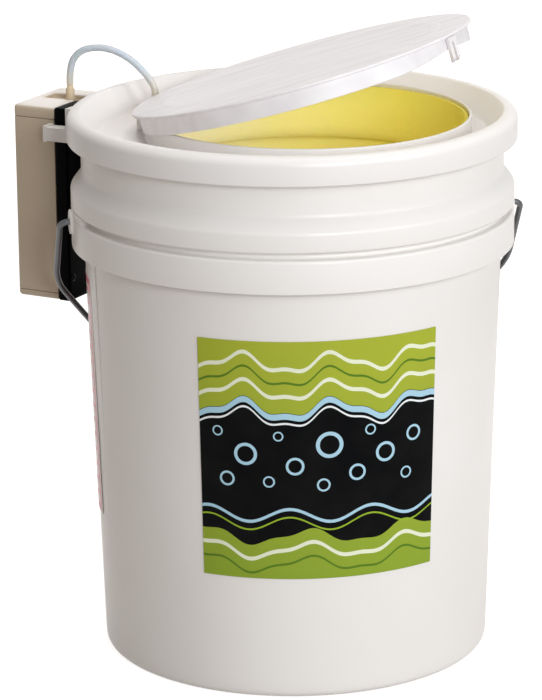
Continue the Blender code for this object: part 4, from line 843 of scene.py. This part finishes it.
def make_pail():
    """The pail: tapered wall, rim bead, neck, ring, open skirt with gussets, and ears."""
    top, inside = SKIRT_TOP - SKIRT_WALL, RING_RADIUS - SKIRT_WALL
    corner = 0.012                # height of the foot's rounded corner
    line = rounded([
        (0.0, 0.0025), (0.1236, 0.0025, 0.009), (wall_radius(corner) - PAIL_WALL, corner),
        (wall_radius(PAIL_HEIGHT) - PAIL_WALL, PAIL_HEIGHT, 0.0008),
        (BEAD_RADIUS, PAIL_HEIGHT, 0.0024), (BEAD_RADIUS, BEAD_BOTTOM, 0.0008),
        (NECK_RADIUS, BEAD_BOTTOM, 0.0012), (NECK_RADIUS, NECK_BOTTOM, 0.0060),
        (RING_RADIUS, RING_TOP - 0.0004, 0.0045), (RING_RADIUS, RING_BOTTOM, 0.0022),
        (GROOVE_RADIUS, RING_BOTTOM - 0.0002, 0.0018), (GROOVE_RADIUS, SKIRT_TOP + 0.0002, 0.0018),
        (RING_RADIUS, SKIRT_TOP, 0.0022), (RING_RADIUS, SKIRT_BOTTOM, 0.0008),
        (inside, SKIRT_BOTTOM, 0.0007), (inside, top, 0.0010), (wall_radius(top), top, 0.0016),
        (wall_radius(0.16), 0.16), (wall_radius(corner), corner),
        (wall_radius(0.0) - 0.0002, 0.0, 0.0085), (0.1180, 0.0, 0.0010), (0.1165, 0.0016, 0.0010),
        (0.0, 0.0016)], False, 5)
    rows = []
    for angle in pail_angles():
        sides = [ear_filled(angle, radius, height) for radius, height, _ in line]
        rows.append([(radius * math.cos(angle), radius * math.sin(angle), height)
                     for radius, height in sides])
    body = loft(rows)
    extras = []
    near, face, foot = 0.1440, RING_RADIUS + 0.0022, BOSS_RADIUS + 0.0011
    for side in (-1, 1):
        boss = turned([
            (0.0, near), (WIRE_HOLE, near), (WIRE_HOLE, face, 0.0003), (BOSS_RADIUS, face, 0.0012),
            (BOSS_RADIUS, RING_RADIUS + 0.0006, 0.0005), (foot, RING_RADIUS - 0.0006),
            (foot, near - 0.001), (0.0, near - 0.001)], 48)
        extras.append(place(boss, shift(z=EAR_AXIS) @ spin(side * math.pi / 2, "Y")))
    # Gussets stand in the pocket between the skirt and the wall.
    gussets, half_width = 24, 0.0007
    for number in range(gussets):
        angle = math.tau * (number + 0.5) / gussets
        if abs(math.sin(angle)) * RING_RADIUS < EAR_HALF + 0.004:
            continue
        rib = block((wall_radius(0.29) - 0.0008, -half_width, SKIRT_BOTTOM + 0.0035),
                    (RING_RADIUS - 0.0014, half_width, SKIRT_TOP - 0.0016))
        extras.append(place(rib, spin(angle)))
    show(gather(body, *extras), "pail_body", "pail", PAIL_WHITE, "pail_shell")


make_pail()

# Prints
FRONT = (math.radians(-91.5), math.radians(68.0), 0.0870, 0.2535)   # turn, sweep, low, high
SIDE = (math.radians(171.0), math.radians(28.0), 0.0995, 0.2695)


def printed(name, azimuth, low, high, **fixed):
    """A print's finish, its two coordinates (metres round from its middle, and up) and the
    radius of the wall behind it."""
    made = Finish(name, **fixed)
    calc = made.calc
    radius = wall_radius((low + high) / 2)
    x, y, z = made.parts()
    cosine, sine = math.cos(azimuth), math.sin(azimuth)
    ahead = calc("ADD", calc("MULTIPLY", x, cosine), calc("MULTIPLY", y, sine))
    aside = calc("SUBTRACT", calc("MULTIPLY", y, cosine), calc("MULTIPLY", x, sine))
    angle = calc("ARCTAN2", aside, ahead)
    return made, calc("MULTIPLY", angle, radius), calc("SUBTRACT", z, low), radius


def front_print():
    """A generic water design: a dark wave band with rising rings on a lime ground."""
    turn, _, bottom, top = FRONT
    made, u, v, _ = printed("front_print", turn, bottom, top, Specular_IOR_Level=0.04)
    calc, mix = made.calc, made.mix

    def wave(level, phase, *parts):
        """A line of one or two sine waves, each with its height and length."""
        line = level
        for size, length in parts:
            sine = calc("SINE", calc("MULTIPLY_ADD", u, math.tau / length, phase))
            line = calc("MULTIPLY_ADD", sine, size, line)
        return line

    def above(line, lift=0.0):
        return calc("GREATER_THAN", calc("SUBTRACT", v, line), lift)

    def stripes(base, rows):
        """Stripes over the base, each between two heights above its line."""
        for line, low, high, paint in rows:
            base = mix(calc("SUBTRACT", above(line, low), above(line, high)), base, paint)
        return base

    pale, dark = tone(238, 242, 214), tone(92, 128, 40)
    black, ice, white = tone(5, 6, 8), tone(176, 214, 232), tone(240, 244, 246)
    crest = wave(0.1210, 0.8, (0.0058, 0.0610), (0.0022, 0.0270))
    trough = wave(0.0300, 2.4, (0.0050, 0.0720), (0.0016, 0.0310))
    inner = wave(0.0440, 4.0, (0.0046, 0.0560))
    base = mix(made.between(v, 0.0, 0.16), tone(144, 168, 56), tone(172, 182, 60))
    base = stripes(base, (
        (crest, 0.0100, 0.0128, pale), (crest, 0.0200, 0.0216, dark),
        (crest, 0.0290, 0.0318, pale), (trough, -0.0112, -0.0084, pale),
        (trough, -0.0205, -0.0189, dark)))
    base = mix(calc("SUBTRACT", above(trough), above(crest)), base, black)
    base = stripes(base, (
        (crest, -0.0046, -0.0004, ice), (crest, -0.0082, -0.0068, white),
        (inner, 0.0, 0.0022, ice), (inner, -0.0052, -0.0040, tone(154, 184, 52))))
    for x, y, size in (
            (-0.0640, 0.0700, 0.0052), (-0.0510, 0.0880, 0.0078), (-0.0355, 0.0690, 0.0040),
            (-0.0290, 0.1010, 0.0034), (-0.0180, 0.0800, 0.0062), (0.0010, 0.0665, 0.0046),
            (0.0050, 0.0945, 0.0092), (0.0240, 0.0740, 0.0058), (0.0330, 0.1030, 0.0038),
            (0.0440, 0.0860, 0.0070), (0.0600, 0.0690, 0.0042), (0.0655, 0.0960, 0.0056),
            (-0.0700, 0.1030, 0.0036)):
        across, up = calc("SUBTRACT", u, x), calc("SUBTRACT", v, y)
        away = calc("SQRT", calc("ADD", calc("MULTIPLY", across, across),
                                 calc("MULTIPLY", up, up)))
        ring = calc("SUBTRACT", calc("LESS_THAN", away, size),
                    calc("LESS_THAN", away, size * 0.72))
        base = mix(ring, base, ice)
    cloud = made.noise(45.0, 3.0)
    made.colour(made.between(cloud, 0.35, 0.75, 0.0, 0.04), base, tone(90, 88, 84))
    made.rough(cloud, 0.3, 0.7, 0.29, 0.38)
    made.bump(made.noise(500.0, 1.0), 0.00002)
    return made


def side_print():
    """A plain red frame with generic wavy rules on a white ground."""
    turn, sweep, low, high = SIDE
    made, u, v, radius = printed("side_print", turn, low, high)
    calc, mix = made.calc, made.mix
    edge = calc("MINIMUM", calc("SUBTRACT", radius * sweep / 2, calc("ABSOLUTE", u)),
                calc("MINIMUM", v, calc("SUBTRACT", high - low, v)))
    border = calc("SUBTRACT", calc("LESS_THAN", edge, 0.0062), calc("LESS_THAN", edge, 0.0012))
    wave = calc("SINE", calc("MULTIPLY", u, math.tau / 0.012))
    level = calc("FRACT", calc("MULTIPLY", calc("MULTIPLY_ADD", wave, 0.0011, v), 1 / 0.0105))
    rules = calc("MULTIPLY", calc("LESS_THAN", level, 0.34), calc("GREATER_THAN", edge, 0.0095))
    cloud = made.noise(45.0, 3.0)
    made.colour(calc("MAXIMUM", border, rules), mix(cloud, tone(240, 238, 236), tone(228, 225, 222)),
                mix(cloud, tone(222, 62, 98), tone(212, 50, 86)))
    made.rough(cloud, 0.3, 0.7, 0.29, 0.40)
    made.bump(made.noise(500.0, 1.0), 0.00002)
    return made


def make_print(name, node, slot, finish, azimuth, sweep, low, high):
    """A thin film that lies round the wall, with softened edges."""
    rows = []
    steps, thick, soft = 60, 0.0005, 0.0002
    for number in range(steps + 1):
        angle = azimuth + sweep * (number / steps - 0.5)
        section = []
        for lift, height in ((thick, high - soft), (thick, low + soft), (thick - soft, low),
                             (0.0, low), (0.0, high), (thick - soft, high)):
            radius = wall_radius(height) + GAP + lift
            section.append((radius * math.cos(angle), radius * math.sin(angle), height))
        rows.append(section)
    show(loft(rows, True, True), name, "pail", finish, node)


make_print("front_film", "front_label", "label_print", front_print(), *FRONT)
make_print("side_film", "side_label", "side_print", side_print(), *SIDE)


# Foam lining
def catch_slot(bottom, top):
    """Cutter of the slot in the lid for the latch's prongs."""
    slot = block((0.1156, -0.0062, bottom), (0.1206, 0.0062, top))
    return place(slot, Matrix.Translation(COLLAR_CENTRE) @ spin(HATCH_TURN + LATCH_TURN))


def fitting_hole(radius, bottom, top):
    """Cutter of the hole in the lid for the air fitting."""
    return rod(radius, FITTING_SPOT + Vector((0, 0, bottom)), FITTING_SPOT + Vector((0, 0, top)))


def make_foam():
    """The pail's foam wall and floor, and the foam of the lid and of the hatch."""
    low, high = FOAM_FLOOR_TOP + GAP, LID_FOAM_BOTTOM - GAP
    outside = PAIL_WALL + 0.0004  # from the pail's outer wall to the foam
    bands = 24
    inner_low, inner_high = (wall_radius(height) - PAIL_WALL - GAP - FOAM_THICKNESS
                             for height in (low, high))
    profile = [(wall_radius(high) - outside, high, 0.0012),
               (wall_radius(low) - outside, low, 0.0008), (inner_low, low, 0.0008)]
    profile += [(inner_low + (inner_high - inner_low) * n / bands, low + (high - low) * n / bands)
                for n in range(1, bands)]
    wall = turned(profile + [(inner_high, high, 0.0030)], 144, True)
    show(rippled(wall, 0.00012, 70.0), "foam_lining", "pail", FOAM_YELLOW, "foam_wall")

    radius = wall_radius(0.011) - outside
    base = turned([
        (0.0, FOAM_FLOOR_TOP), (0.06, FOAM_FLOOR_TOP), (radius, FOAM_FLOOR_TOP, 0.0010),
        (radius, 0.0115, 0.0010), (0.1236, 0.0029, 0.0020), (0.0, 0.0029)], 144)
    show(base, "foam_base", "pail", FOAM_YELLOW, "foam_floor")

    outer, bore, upstand, top = 0.1380, 0.1065, 0.1092, COLLAR_TOP - 0.0022
    ring = turned([
        (outer, LID_FOAM_TOP, 0.0010), (outer, LID_FOAM_BOTTOM, 0.0020),
        (bore, LID_FOAM_BOTTOM, 0.0120, 1.0), (bore, top, 0.0010, 1.0),
        (upstand, top, 0.0008, 1.0), (upstand, LID_FOAM_TOP, 0.0, 1.0)], 144, True, COLLAR_CENTRE)
    cut(ring, fitting_hole(0.0037, 0.330, 0.366), catch_slot(0.3583, 0.3627))
    show(ring, "lid_insert", "lid", FOAM_YELLOW, "lid_foam")

    radius, top, bottom = 0.1040, HATCH_UNDER - GAP, HATCH_UNDER - 0.0113
    cushion = turned([(0.0, top), (radius, top, 0.0006), (radius, bottom, 0.0030), (0.0, bottom)], 144)
    show(cushion, "hatch_insert", "hatch", FOAM_YELLOW, "hatch_foam",
         HATCH @ shift(HINGE_REACH))


make_foam()


# Lid
def make_lid():
    """The snap lid: skirt, rounded crest, dished channel, collar and hinge lugs."""
    edge = []
    for degrees in range(0, 91, 15):
        turn = math.radians(degrees)
        edge.append((CREST_RADIUS + (LID_RADIUS - CREST_RADIUS) * math.sin(turn),
                     CREST - EDGE_DROP * (1.0 - math.cos(turn))))
    ring = turned(edge + [
        (LID_RADIUS, LID_BOTTOM, 0.0010), (LID_BORE, LID_BOTTOM, 0.0008),
        (LID_BORE, LID_UNDER, 0.0010), (RIM_RADIUS, LID_UNDER, 0.0010), (0.14355, 0.3748, 0.0010),
        (0.1348, CHANNEL_UNDER, 0.0010), (COLLAR_BORE, CHANNEL_UNDER, 0.0006, 1.0),
        (COLLAR_BORE, COLLAR_TOP, 0.0009, 1.0), (COLLAR_RADIUS, COLLAR_TOP, 0.0009, 1.0),
        (COLLAR_RADIUS, CHANNEL_FLOOR, 0.0014, 1.0), (DISH_FOOT, CHANNEL_FLOOR, 0.0045),
        (DISH_TOP, CREST, 0.0045)], 240, True, COLLAR_CENTRE, 6)
    cut(ring, fitting_hole(0.0034, 0.355, 0.368), catch_slot(0.3590, 0.3652))
    lugs = []
    half, sunk, past = 0.0024, 0.0001, 0.001
    for side in (-1, 1):
        near, far = side * 0.0153, side * 0.0213
        knuckle = rod(BARREL_RADIUS, (-HINGE_DISTANCE, near, HINGE_HEIGHT),
                      (-HINGE_DISTANCE, far, HINGE_HEIGHT))
        join(knuckle, slab(-HINGE_DISTANCE, (near + far) / 2, half, abs(far - near) / 2 - sunk,
                           CHANNEL_UNDER + GAP, HINGE_HEIGHT))
        cut(knuckle, rod(0.0016, (-HINGE_DISTANCE, near - side * past, HINGE_HEIGHT),
                         (-HINGE_DISTANCE, far + side * past, HINGE_HEIGHT)))
        lugs.append(place(soften(knuckle, 0.0003), LID))
    show(gather(ring, *lugs), "lid_shell", "lid", LID_WHITE, "lid_ring")

    low, high, soft = PAIL_HEIGHT + GAP, LID_UNDER - GAP, 0.0005
    seal = turned([(radius, height, soft) for radius, height in (
        (0.14705, high), (0.1497, high), (0.1497, low), (0.14705, low))], 180, True)
    show(seal, "rim_seal", "lid", RUBBER, "lid_gasket")


make_lid()


# Hatch
def skirt_bottom(angle):
    """Lower edge of the hatch's skirt, which is cut higher at the latch."""
    low, high = HATCH_UNDER - 0.0120, HATCH_UNDER - 0.0080
    cut_start, cut_width = 0.0060, 0.0440
    if math.cos(angle - LATCH_TURN) < 0:
        return low
    across = abs(HATCH_SKIRT_RADIUS * math.sin(angle - LATCH_TURN))
    share = min(1.0, max(0.0, (across - cut_start) / cut_width))
    return high + (low - high) * share


def make_hatch():
    """The round hatch: a thin plate with a flange and a faint ridge, a skirt and hinge barrel."""
    middle = shift(HINGE_REACH)
    radius, top, ridge = HATCH_RADIUS - 0.0001, HATCH_TOP - 0.0001, HATCH_TOP + 0.0002
    plate = turned([
        (0.0, top), (0.030, top), (0.0905, top, 0.002), (0.0925, ridge, 0.0015),
        (0.0975, ridge, 0.0015), (0.0995, top, 0.002), (radius, top, 0.0012),
        (radius, HATCH_UNDER, 0.0008), (HATCH_SKIRT_RADIUS, HATCH_UNDER), (0.0, HATCH_UNDER)], 240)
    thumb_slot = slab(0.0, 0.0, 0.0008, 0.0045, 0.0, 0.010)
    cut(plate, place(thumb_slot, spin(math.radians(-25.0)) @ shift(HATCH_SKIRT_RADIUS + 0.0016)))

    rows = []
    notch = math.radians(57.0)    # the skirt is left out at the hinge
    steps, soft = 200, 0.0006
    outside, inside = HATCH_SKIRT_RADIUS, HATCH_SKIRT_RADIUS - HATCH_SKIRT_WALL
    for number in range(steps + 1):
        angle = -math.pi + notch / 2 + (math.tau - notch) * number / steps
        bottom = skirt_bottom(angle)
        section = [(outside, HATCH_UNDER + soft), (outside, bottom + soft),
                   (outside - soft, bottom), (inside + soft, bottom),
                   (inside, bottom + soft), (inside, HATCH_UNDER + soft)]
        rows.append([(r * math.cos(angle), r * math.sin(angle), z) for r, z in section])
    skirt = loft(rows, True, True)
    for part in (plate, skirt):
        place(part, middle)

    half, past = 0.015, 0.001
    barrel = rod(BARREL_RADIUS, (0, -half, 0), (0, half, 0))
    join(barrel, slab(0.0, 0.0, 0.0024, half - 0.0001, 0.0, HATCH_UNDER + soft))
    cut(barrel, rod(0.0017, (0, -half - past, 0), (0, half + past, 0)))
    show(gather(plate, skirt, soften(barrel, 0.0003)), "hatch_lid", "hatch",
         HATCH_WHITE, "hatch_door", HATCH)

    near, top = HATCH_SKIRT_RADIUS + GAP, HATCH_UNDER - GAP
    tip = top - 0.0169
    prongs = []
    for low, high in ((-0.0050, -0.0015), (0.0015, 0.0050)):
        prong = block((near, low, tip + 0.0016), (near + 0.0024, high, top))
        hook = loft([[(near + out, y, tip + up) for out, up in (
            (0.0, 0.0040), (0.0026, 0.0040), (0.0026, 0.0026), (0.0008, 0.0), (0.0, 0.0))]
            for y in (low, high)], True, True)
        prongs.append(soften(join(prong, hook), 0.0003))
    bridge = slab(near + 0.0012, 0.0, 0.0011, 0.0049, top - 0.0036, top)
    show(gather(soften(bridge, 0.0003), *prongs), "latch_prongs", "hatch",
         HATCH_WHITE, "hatch_latch", HATCH @ middle @ spin(LATCH_TURN))
    kept("hinge_pin", STEEL)


make_hatch()


# Bail
def bail_line():
    """The wire from one ear to the other, in the plane of the hanging bail."""
    leg, tip = RING_RADIUS + 0.0084, wall_radius(EAR_AXIS) + 0.0024
    grip_end, bend = GRIP_HALF + WIRE_RADIUS, 0.012
    turn = math.atan2(BAIL_REACH - BAIL_LEG, leg - grip_end - bend)
    eye, elbow, shoulder, corner, middle = (Vector((x, 0.0, z)) for x, z in (
        (tip, 0.0), (leg, 0.0), (leg, -BAIL_LEG),
        (grip_end + bend * math.tan(turn / 2), -BAIL_REACH), (0.0, -BAIL_REACH)))
    half = [eye]
    half += fillet(elbow, eye, shoulder, 0.0058, 8)
    half += fillet(shoulder, elbow, corner, 0.060, 16)
    half += fillet(corner, shoulder, middle, bend, 8)
    return half + [Vector((-point.x, point.y, point.z)) for point in reversed(half)]


def make_bail():
    """The wire bail and its ribbed grip."""
    reach = BAIL_REACH * math.hypot(1.0, WALL_TAPER)
    lean = (math.asin((wall_radius(EAR_AXIS) + GRIP_RADIUS + GRIP_STANDOFF) / reach)
            - math.atan(WALL_TAPER))
    hang = shift(z=EAR_AXIS) @ spin(lean, "X")
    show(loft(circles(bail_line(), WIRE_RADIUS), True, True), "bail_rod", "bail",
         WIRE, "bail_wire", hang)
    bore, end, valley, crown, ribs, soft = WIRE_HOLE, 0.0105, 0.0112, GRIP_RADIUS - 0.0001, 11, 0.0012
    profile = [(bore, -GRIP_HALF), (end, -GRIP_HALF, 0.0015)]
    for number in range(ribs):
        level = -GRIP_HALF + 2 * GRIP_HALF * (number + 0.5) / ribs
        profile += [(valley, level - 0.0040, soft), (crown, level - 0.0030, soft),
                    (crown, level + 0.0030, soft), (valley, level + 0.0040, soft)]
    profile += [(end, GRIP_HALF, 0.0015), (bore, GRIP_HALF)]
    show(turned(profile, 64, True, steps=3), "bail_handle", "grip", PAIL_WHITE,
         "bail_grip", hang @ shift(z=-BAIL_REACH) @ spin(math.pi / 2, "Y"))


make_bail()


# Pump
def cross_screw(shank, length):
    """A pan-head screw along +X, its head's underside at the origin."""
    radius, head = SCREW_HEAD_RADIUS, SCREW_HEAD
    made = turned([
        (0.0, head), (radius * 0.55, head), (radius, head * 0.35, head * 0.3), (radius, 0.0, 0.0001),
        (shank, 0.0), (shank, -length + shank), (0.0002, -length)], 32)
    for turn in (0.0, math.pi / 2):
        slot = slab(0.0, 0.0, radius * 0.62, 0.00035, head * 0.45, head * 2)
        cut(made, place(slot, spin(turn)))
    return place(made, spin(math.pi / 2, "Y"))


def make_bracket():
    """The white bracket with its two flared arms, its screws and the steel clip."""
    rail_x = LID_RADIUS + 0.0023
    pad_x, hook_x, arm_end = LID_RADIUS + 0.0010, LID_RADIUS + 0.0165, LID_RADIUS + 0.0195
    half = CASE_HALF + 0.0005 + 0.0015 + ARM_WIDTH
    bottom, flare = RAIL_TOP - 0.0090, 0.0012
    bracket = block((rail_x, -half, bottom), (rail_x + 0.0030, half, RAIL_TOP))
    root = math.sqrt(LID_RADIUS ** 2 - half ** 2) - 0.004
    for low, high in ((-half, ARM_WIDTH - half), (half - ARM_WIDTH, half)):
        join(bracket, *(block((start, low, foot), (end, high, top)) for start, end, foot, top in (
            (root, arm_end, bottom - GAP, RAIL_TOP + GAP),
            (hook_x, arm_end, bottom - flare, RAIL_TOP + flare),
            (root, pad_x, RAIL_TOP - 0.002, RAIL_TOP + PAD_HEIGHT))))
    side, foot, top = LID_RADIUS + GAP, bottom - 0.003, RAIL_TOP + 0.02
    cut(bracket, turned([(0.0, foot), (side, foot), (side, top), (0.0, top)], 240))
    on_pump(soften(bracket, 0.0006, 3), "bracket", LID_WHITE, "pump_bracket")
    spot, level = half - ARM_WIDTH / 2, RAIL_TOP + PAD_HEIGHT * 0.55
    depth = pad_x - math.sqrt(BEAD_RADIUS ** 2 - spot ** 2) - 0.001
    for across, name in ((spot, "bracket_screw_near"), (-spot, "bracket_screw_far")):
        screw = place(cross_screw(0.0014, depth), shift(pad_x + GAP, across, level))
        on_pump(screw, name + "_head", STEEL, name)
    kept("pump_clip", STEEL)


def recess_block():
    """Cutter of the recess in the pump's top."""
    return block((PUMP_BACK + 0.0025, -0.0140, RECESS_FLOOR),
                 (CASE_X - 0.0070, 0.0040, PUMP_TOP + 0.002))


def shell(bottom, top, hollow_bottom, hollow_top, crown=None):
    """A hollow box open at its back, with rounded front uprights and rounded edges at crown."""
    slack = 0.0001
    made = block((SEAM_X, -CASE_HALF, bottom), (CASE_X, CASE_HALF, top))
    work = bmesh.new()
    work.from_mesh(made.data)
    chosen = []
    for edge in work.edges:
        first, second = (corner.co for corner in edge.verts)
        upright = abs(first.z - second.z) > slack and min(first.x, second.x) > CASE_X - slack
        crowned = crown is not None and max(abs(first.z - crown), abs(second.z - crown)) < slack
        if upright or (crowned and max(first.x, second.x) > SEAM_X + slack):
            chosen.append(edge)
    bmesh.ops.bevel(work, geom=chosen, offset=0.0030, segments=6, affect="EDGES", profile=0.5)
    work.to_mesh(made.data)
    work.free()
    inside = CASE_HALF - CASE_WALL
    return cut(made, block((SEAM_X - CASE_WALL, -inside, hollow_bottom),
                           (CASE_X - CASE_WALL, inside, hollow_top)))


def make_pump():
    """The case with its two caps, seams and soft corners, and the black back cover."""
    past = 0.01                   # how far a hollow runs past an open end
    case = shell(CASE_BOTTOM + GAP, CASE_TOP - GAP, PUMP_BOTTOM - past, PUMP_TOP + past)
    cap = shell(CASE_TOP, PUMP_TOP, CASE_TOP - past, CAP_UNDER, PUMP_TOP)
    foot = shell(PUMP_BOTTOM, CASE_BOTTOM, PUMP_BOTTOM + CASE_WALL, CASE_BOTTOM + past, PUMP_BOTTOM)
    cut(cap, recess_block(), rod(0.0025, (NIPPLE_X, NIPPLE_Y, 0.36), (NIPPLE_X, NIPPLE_Y, 0.372)))
    for made, name, finish, node in (
            (case, "case_shell", CASE_BEIGE, "pump_case"), (cap, "case_top", CAP_BEIGE, "pump_top_cap"),
            (foot, "case_foot", CASE_BEIGE, "pump_bottom_cap")):
        on_pump(soften(made, 0.0004), name, finish, node)

    wide = CASE_HALF + 0.0005
    inside = wide - COVER_WALL
    cover = block((PUMP_BACK, -wide, PUMP_BOTTOM), (SEAM_X - GAP, wide, PUMP_TOP))
    soften(cover, 0.0016, 4)
    cut(cover, block((PUMP_BACK + COVER_WALL, -inside, PUMP_BOTTOM + COVER_WALL),
                     (SEAM_X + 0.002, inside, CAP_UNDER)), recess_block())
    spots = [(side * (CASE_HALF - 0.0041), level)
             for level in (CASE_BOTTOM + 0.012, CASE_TOP - 0.012) for side in (-1, 1)]
    for y, level in spots:
        cut(cover, rod(0.0017, (PUMP_BACK - 0.002, y, level), (PUMP_BACK + 0.004, y, level)))
    cut(cover, slab(SWITCH_X, SWITCH_Y, 0.0012, 0.0032, 0.360, 0.368))
    on_pump(cover, "back_cover", COVER_BLACK, "pump_back_cover")
    for number, (y, level) in enumerate(spots, 1):
        screw = place(cross_screw(0.0012, 0.0128), shift(PUMP_BACK - GAP, y, level) @ spin(math.pi))
        on_pump(screw, "cover_bolt_%d" % number, BOLT_BLACK, "cover_screw_%d" % number)


def make_switch():
    """The slide switch: a plate with softened edges and a ribbed knob."""
    base, thick, past = RECESS_FLOOR + GAP, 0.0006, 0.002
    x, y = SWITCH_X, SWITCH_Y
    plate = soften(slab(x, y, 0.0028, 0.0060, base, base + thick), 0.00018)
    cut(plate, slab(x, y, 0.0012, 0.0032, base - past, base + past))
    on_pump(plate, "slide_plate", STEEL, "switch_plate")
    rest, low = y - 0.0020, base + thick + GAP
    knob = soften(slab(x, rest, 0.0017, 0.0017, low, low + 0.0022), 0.0003)
    for step in (-0.0010, 0.0, 0.0010):
        cut(knob, slab(x, rest + step, 0.0020, 0.0002, low + 0.0018, low + 0.0030))
    stem = slab(x, rest, 0.0009, 0.0009, CAP_UNDER + GAP, low + 0.0011)
    on_pump(gather(knob, stem), "slide_knob", COVER_BLACK, "switch_knob", "switch")


def make_fittings():
    """The nipple on the pump, the fitting in the lid and the air stone."""
    base, tip, bore, neck, foot = RECESS_FLOOR + GAP, NIPPLE_TIP, 0.0009, 0.0022, 0.3624
    nipple = turned([
        (0.0021, tip, 0.0003), (0.0024, tip - 0.0025), (0.0030, tip - 0.0026, 0.0002),
        (0.0031, tip - 0.0085), (0.0035, base + 0.0020, 0.0004), (0.0035, base, 0.0002),
        (neck, base), (neck, foot, 0.0003), (bore, foot), (bore, tip)], 40, True)
    show(nipple, "barb", "lid", IVORY, "hose_nipple", PUMP @ shift(NIPPLE_X, NIPPLE_Y))
    floor, flange, side, bore = CHANNEL_FLOOR + GAP, 0.0042, 0.0031, 0.0012
    fitting = turned([
        (0.0025, FITTING_TOP, 0.0003), (side, FITTING_TOP - 0.0030, 0.0010), (side, floor + 0.0015),
        (flange, floor + 0.0015, 0.0004), (flange, floor), (side, floor),
        (side, FITTING_BOTTOM + 0.003), (0.0026, FITTING_BOTTOM, 0.0003), (bore, FITTING_BOTTOM),
        (bore, FITTING_TOP)], 40, True)
    show(fitting, "lid_nozzle", "lid", IVORY, "lid_fitting",
         Matrix.Translation(FITTING_SPOT))
    radius, nub, shoulder = 0.0065, 0.0020, STONE_TOP - 0.0040
    stone = turned([
        (0.0, STONE_TOP), (nub, STONE_TOP, 0.0003), (nub, shoulder), (radius, shoulder, 0.0012),
        (radius, STONE_BOTTOM, 0.0012), (0.0, STONE_BOTTOM)], 48)
    show(rippled(stone, 0.00008, 900.0), "bubble_stone", "lid", STONE, "air_stone",
         Matrix.Translation(OUTWARD * STONE_DISTANCE))


make_bracket()
make_pump()
make_switch()
make_fittings()
for cad_finish, cad_nodes in (
        (JACKET, ("battery_lower", "battery_upper")),
        (STEEL, ("contact_bottom", "contact_top", "motor_can", "motor_rotor")),
        (MECHANISM_BLACK, ("pump_chassis", "valve_block")), (IVORY, ("rocker_lever",)),
        (RUBBER, ("diaphragm",)), (HOSE, ("pump_tube",))):
    for cad_node in cad_nodes:
        kept(cad_node, cad_finish)
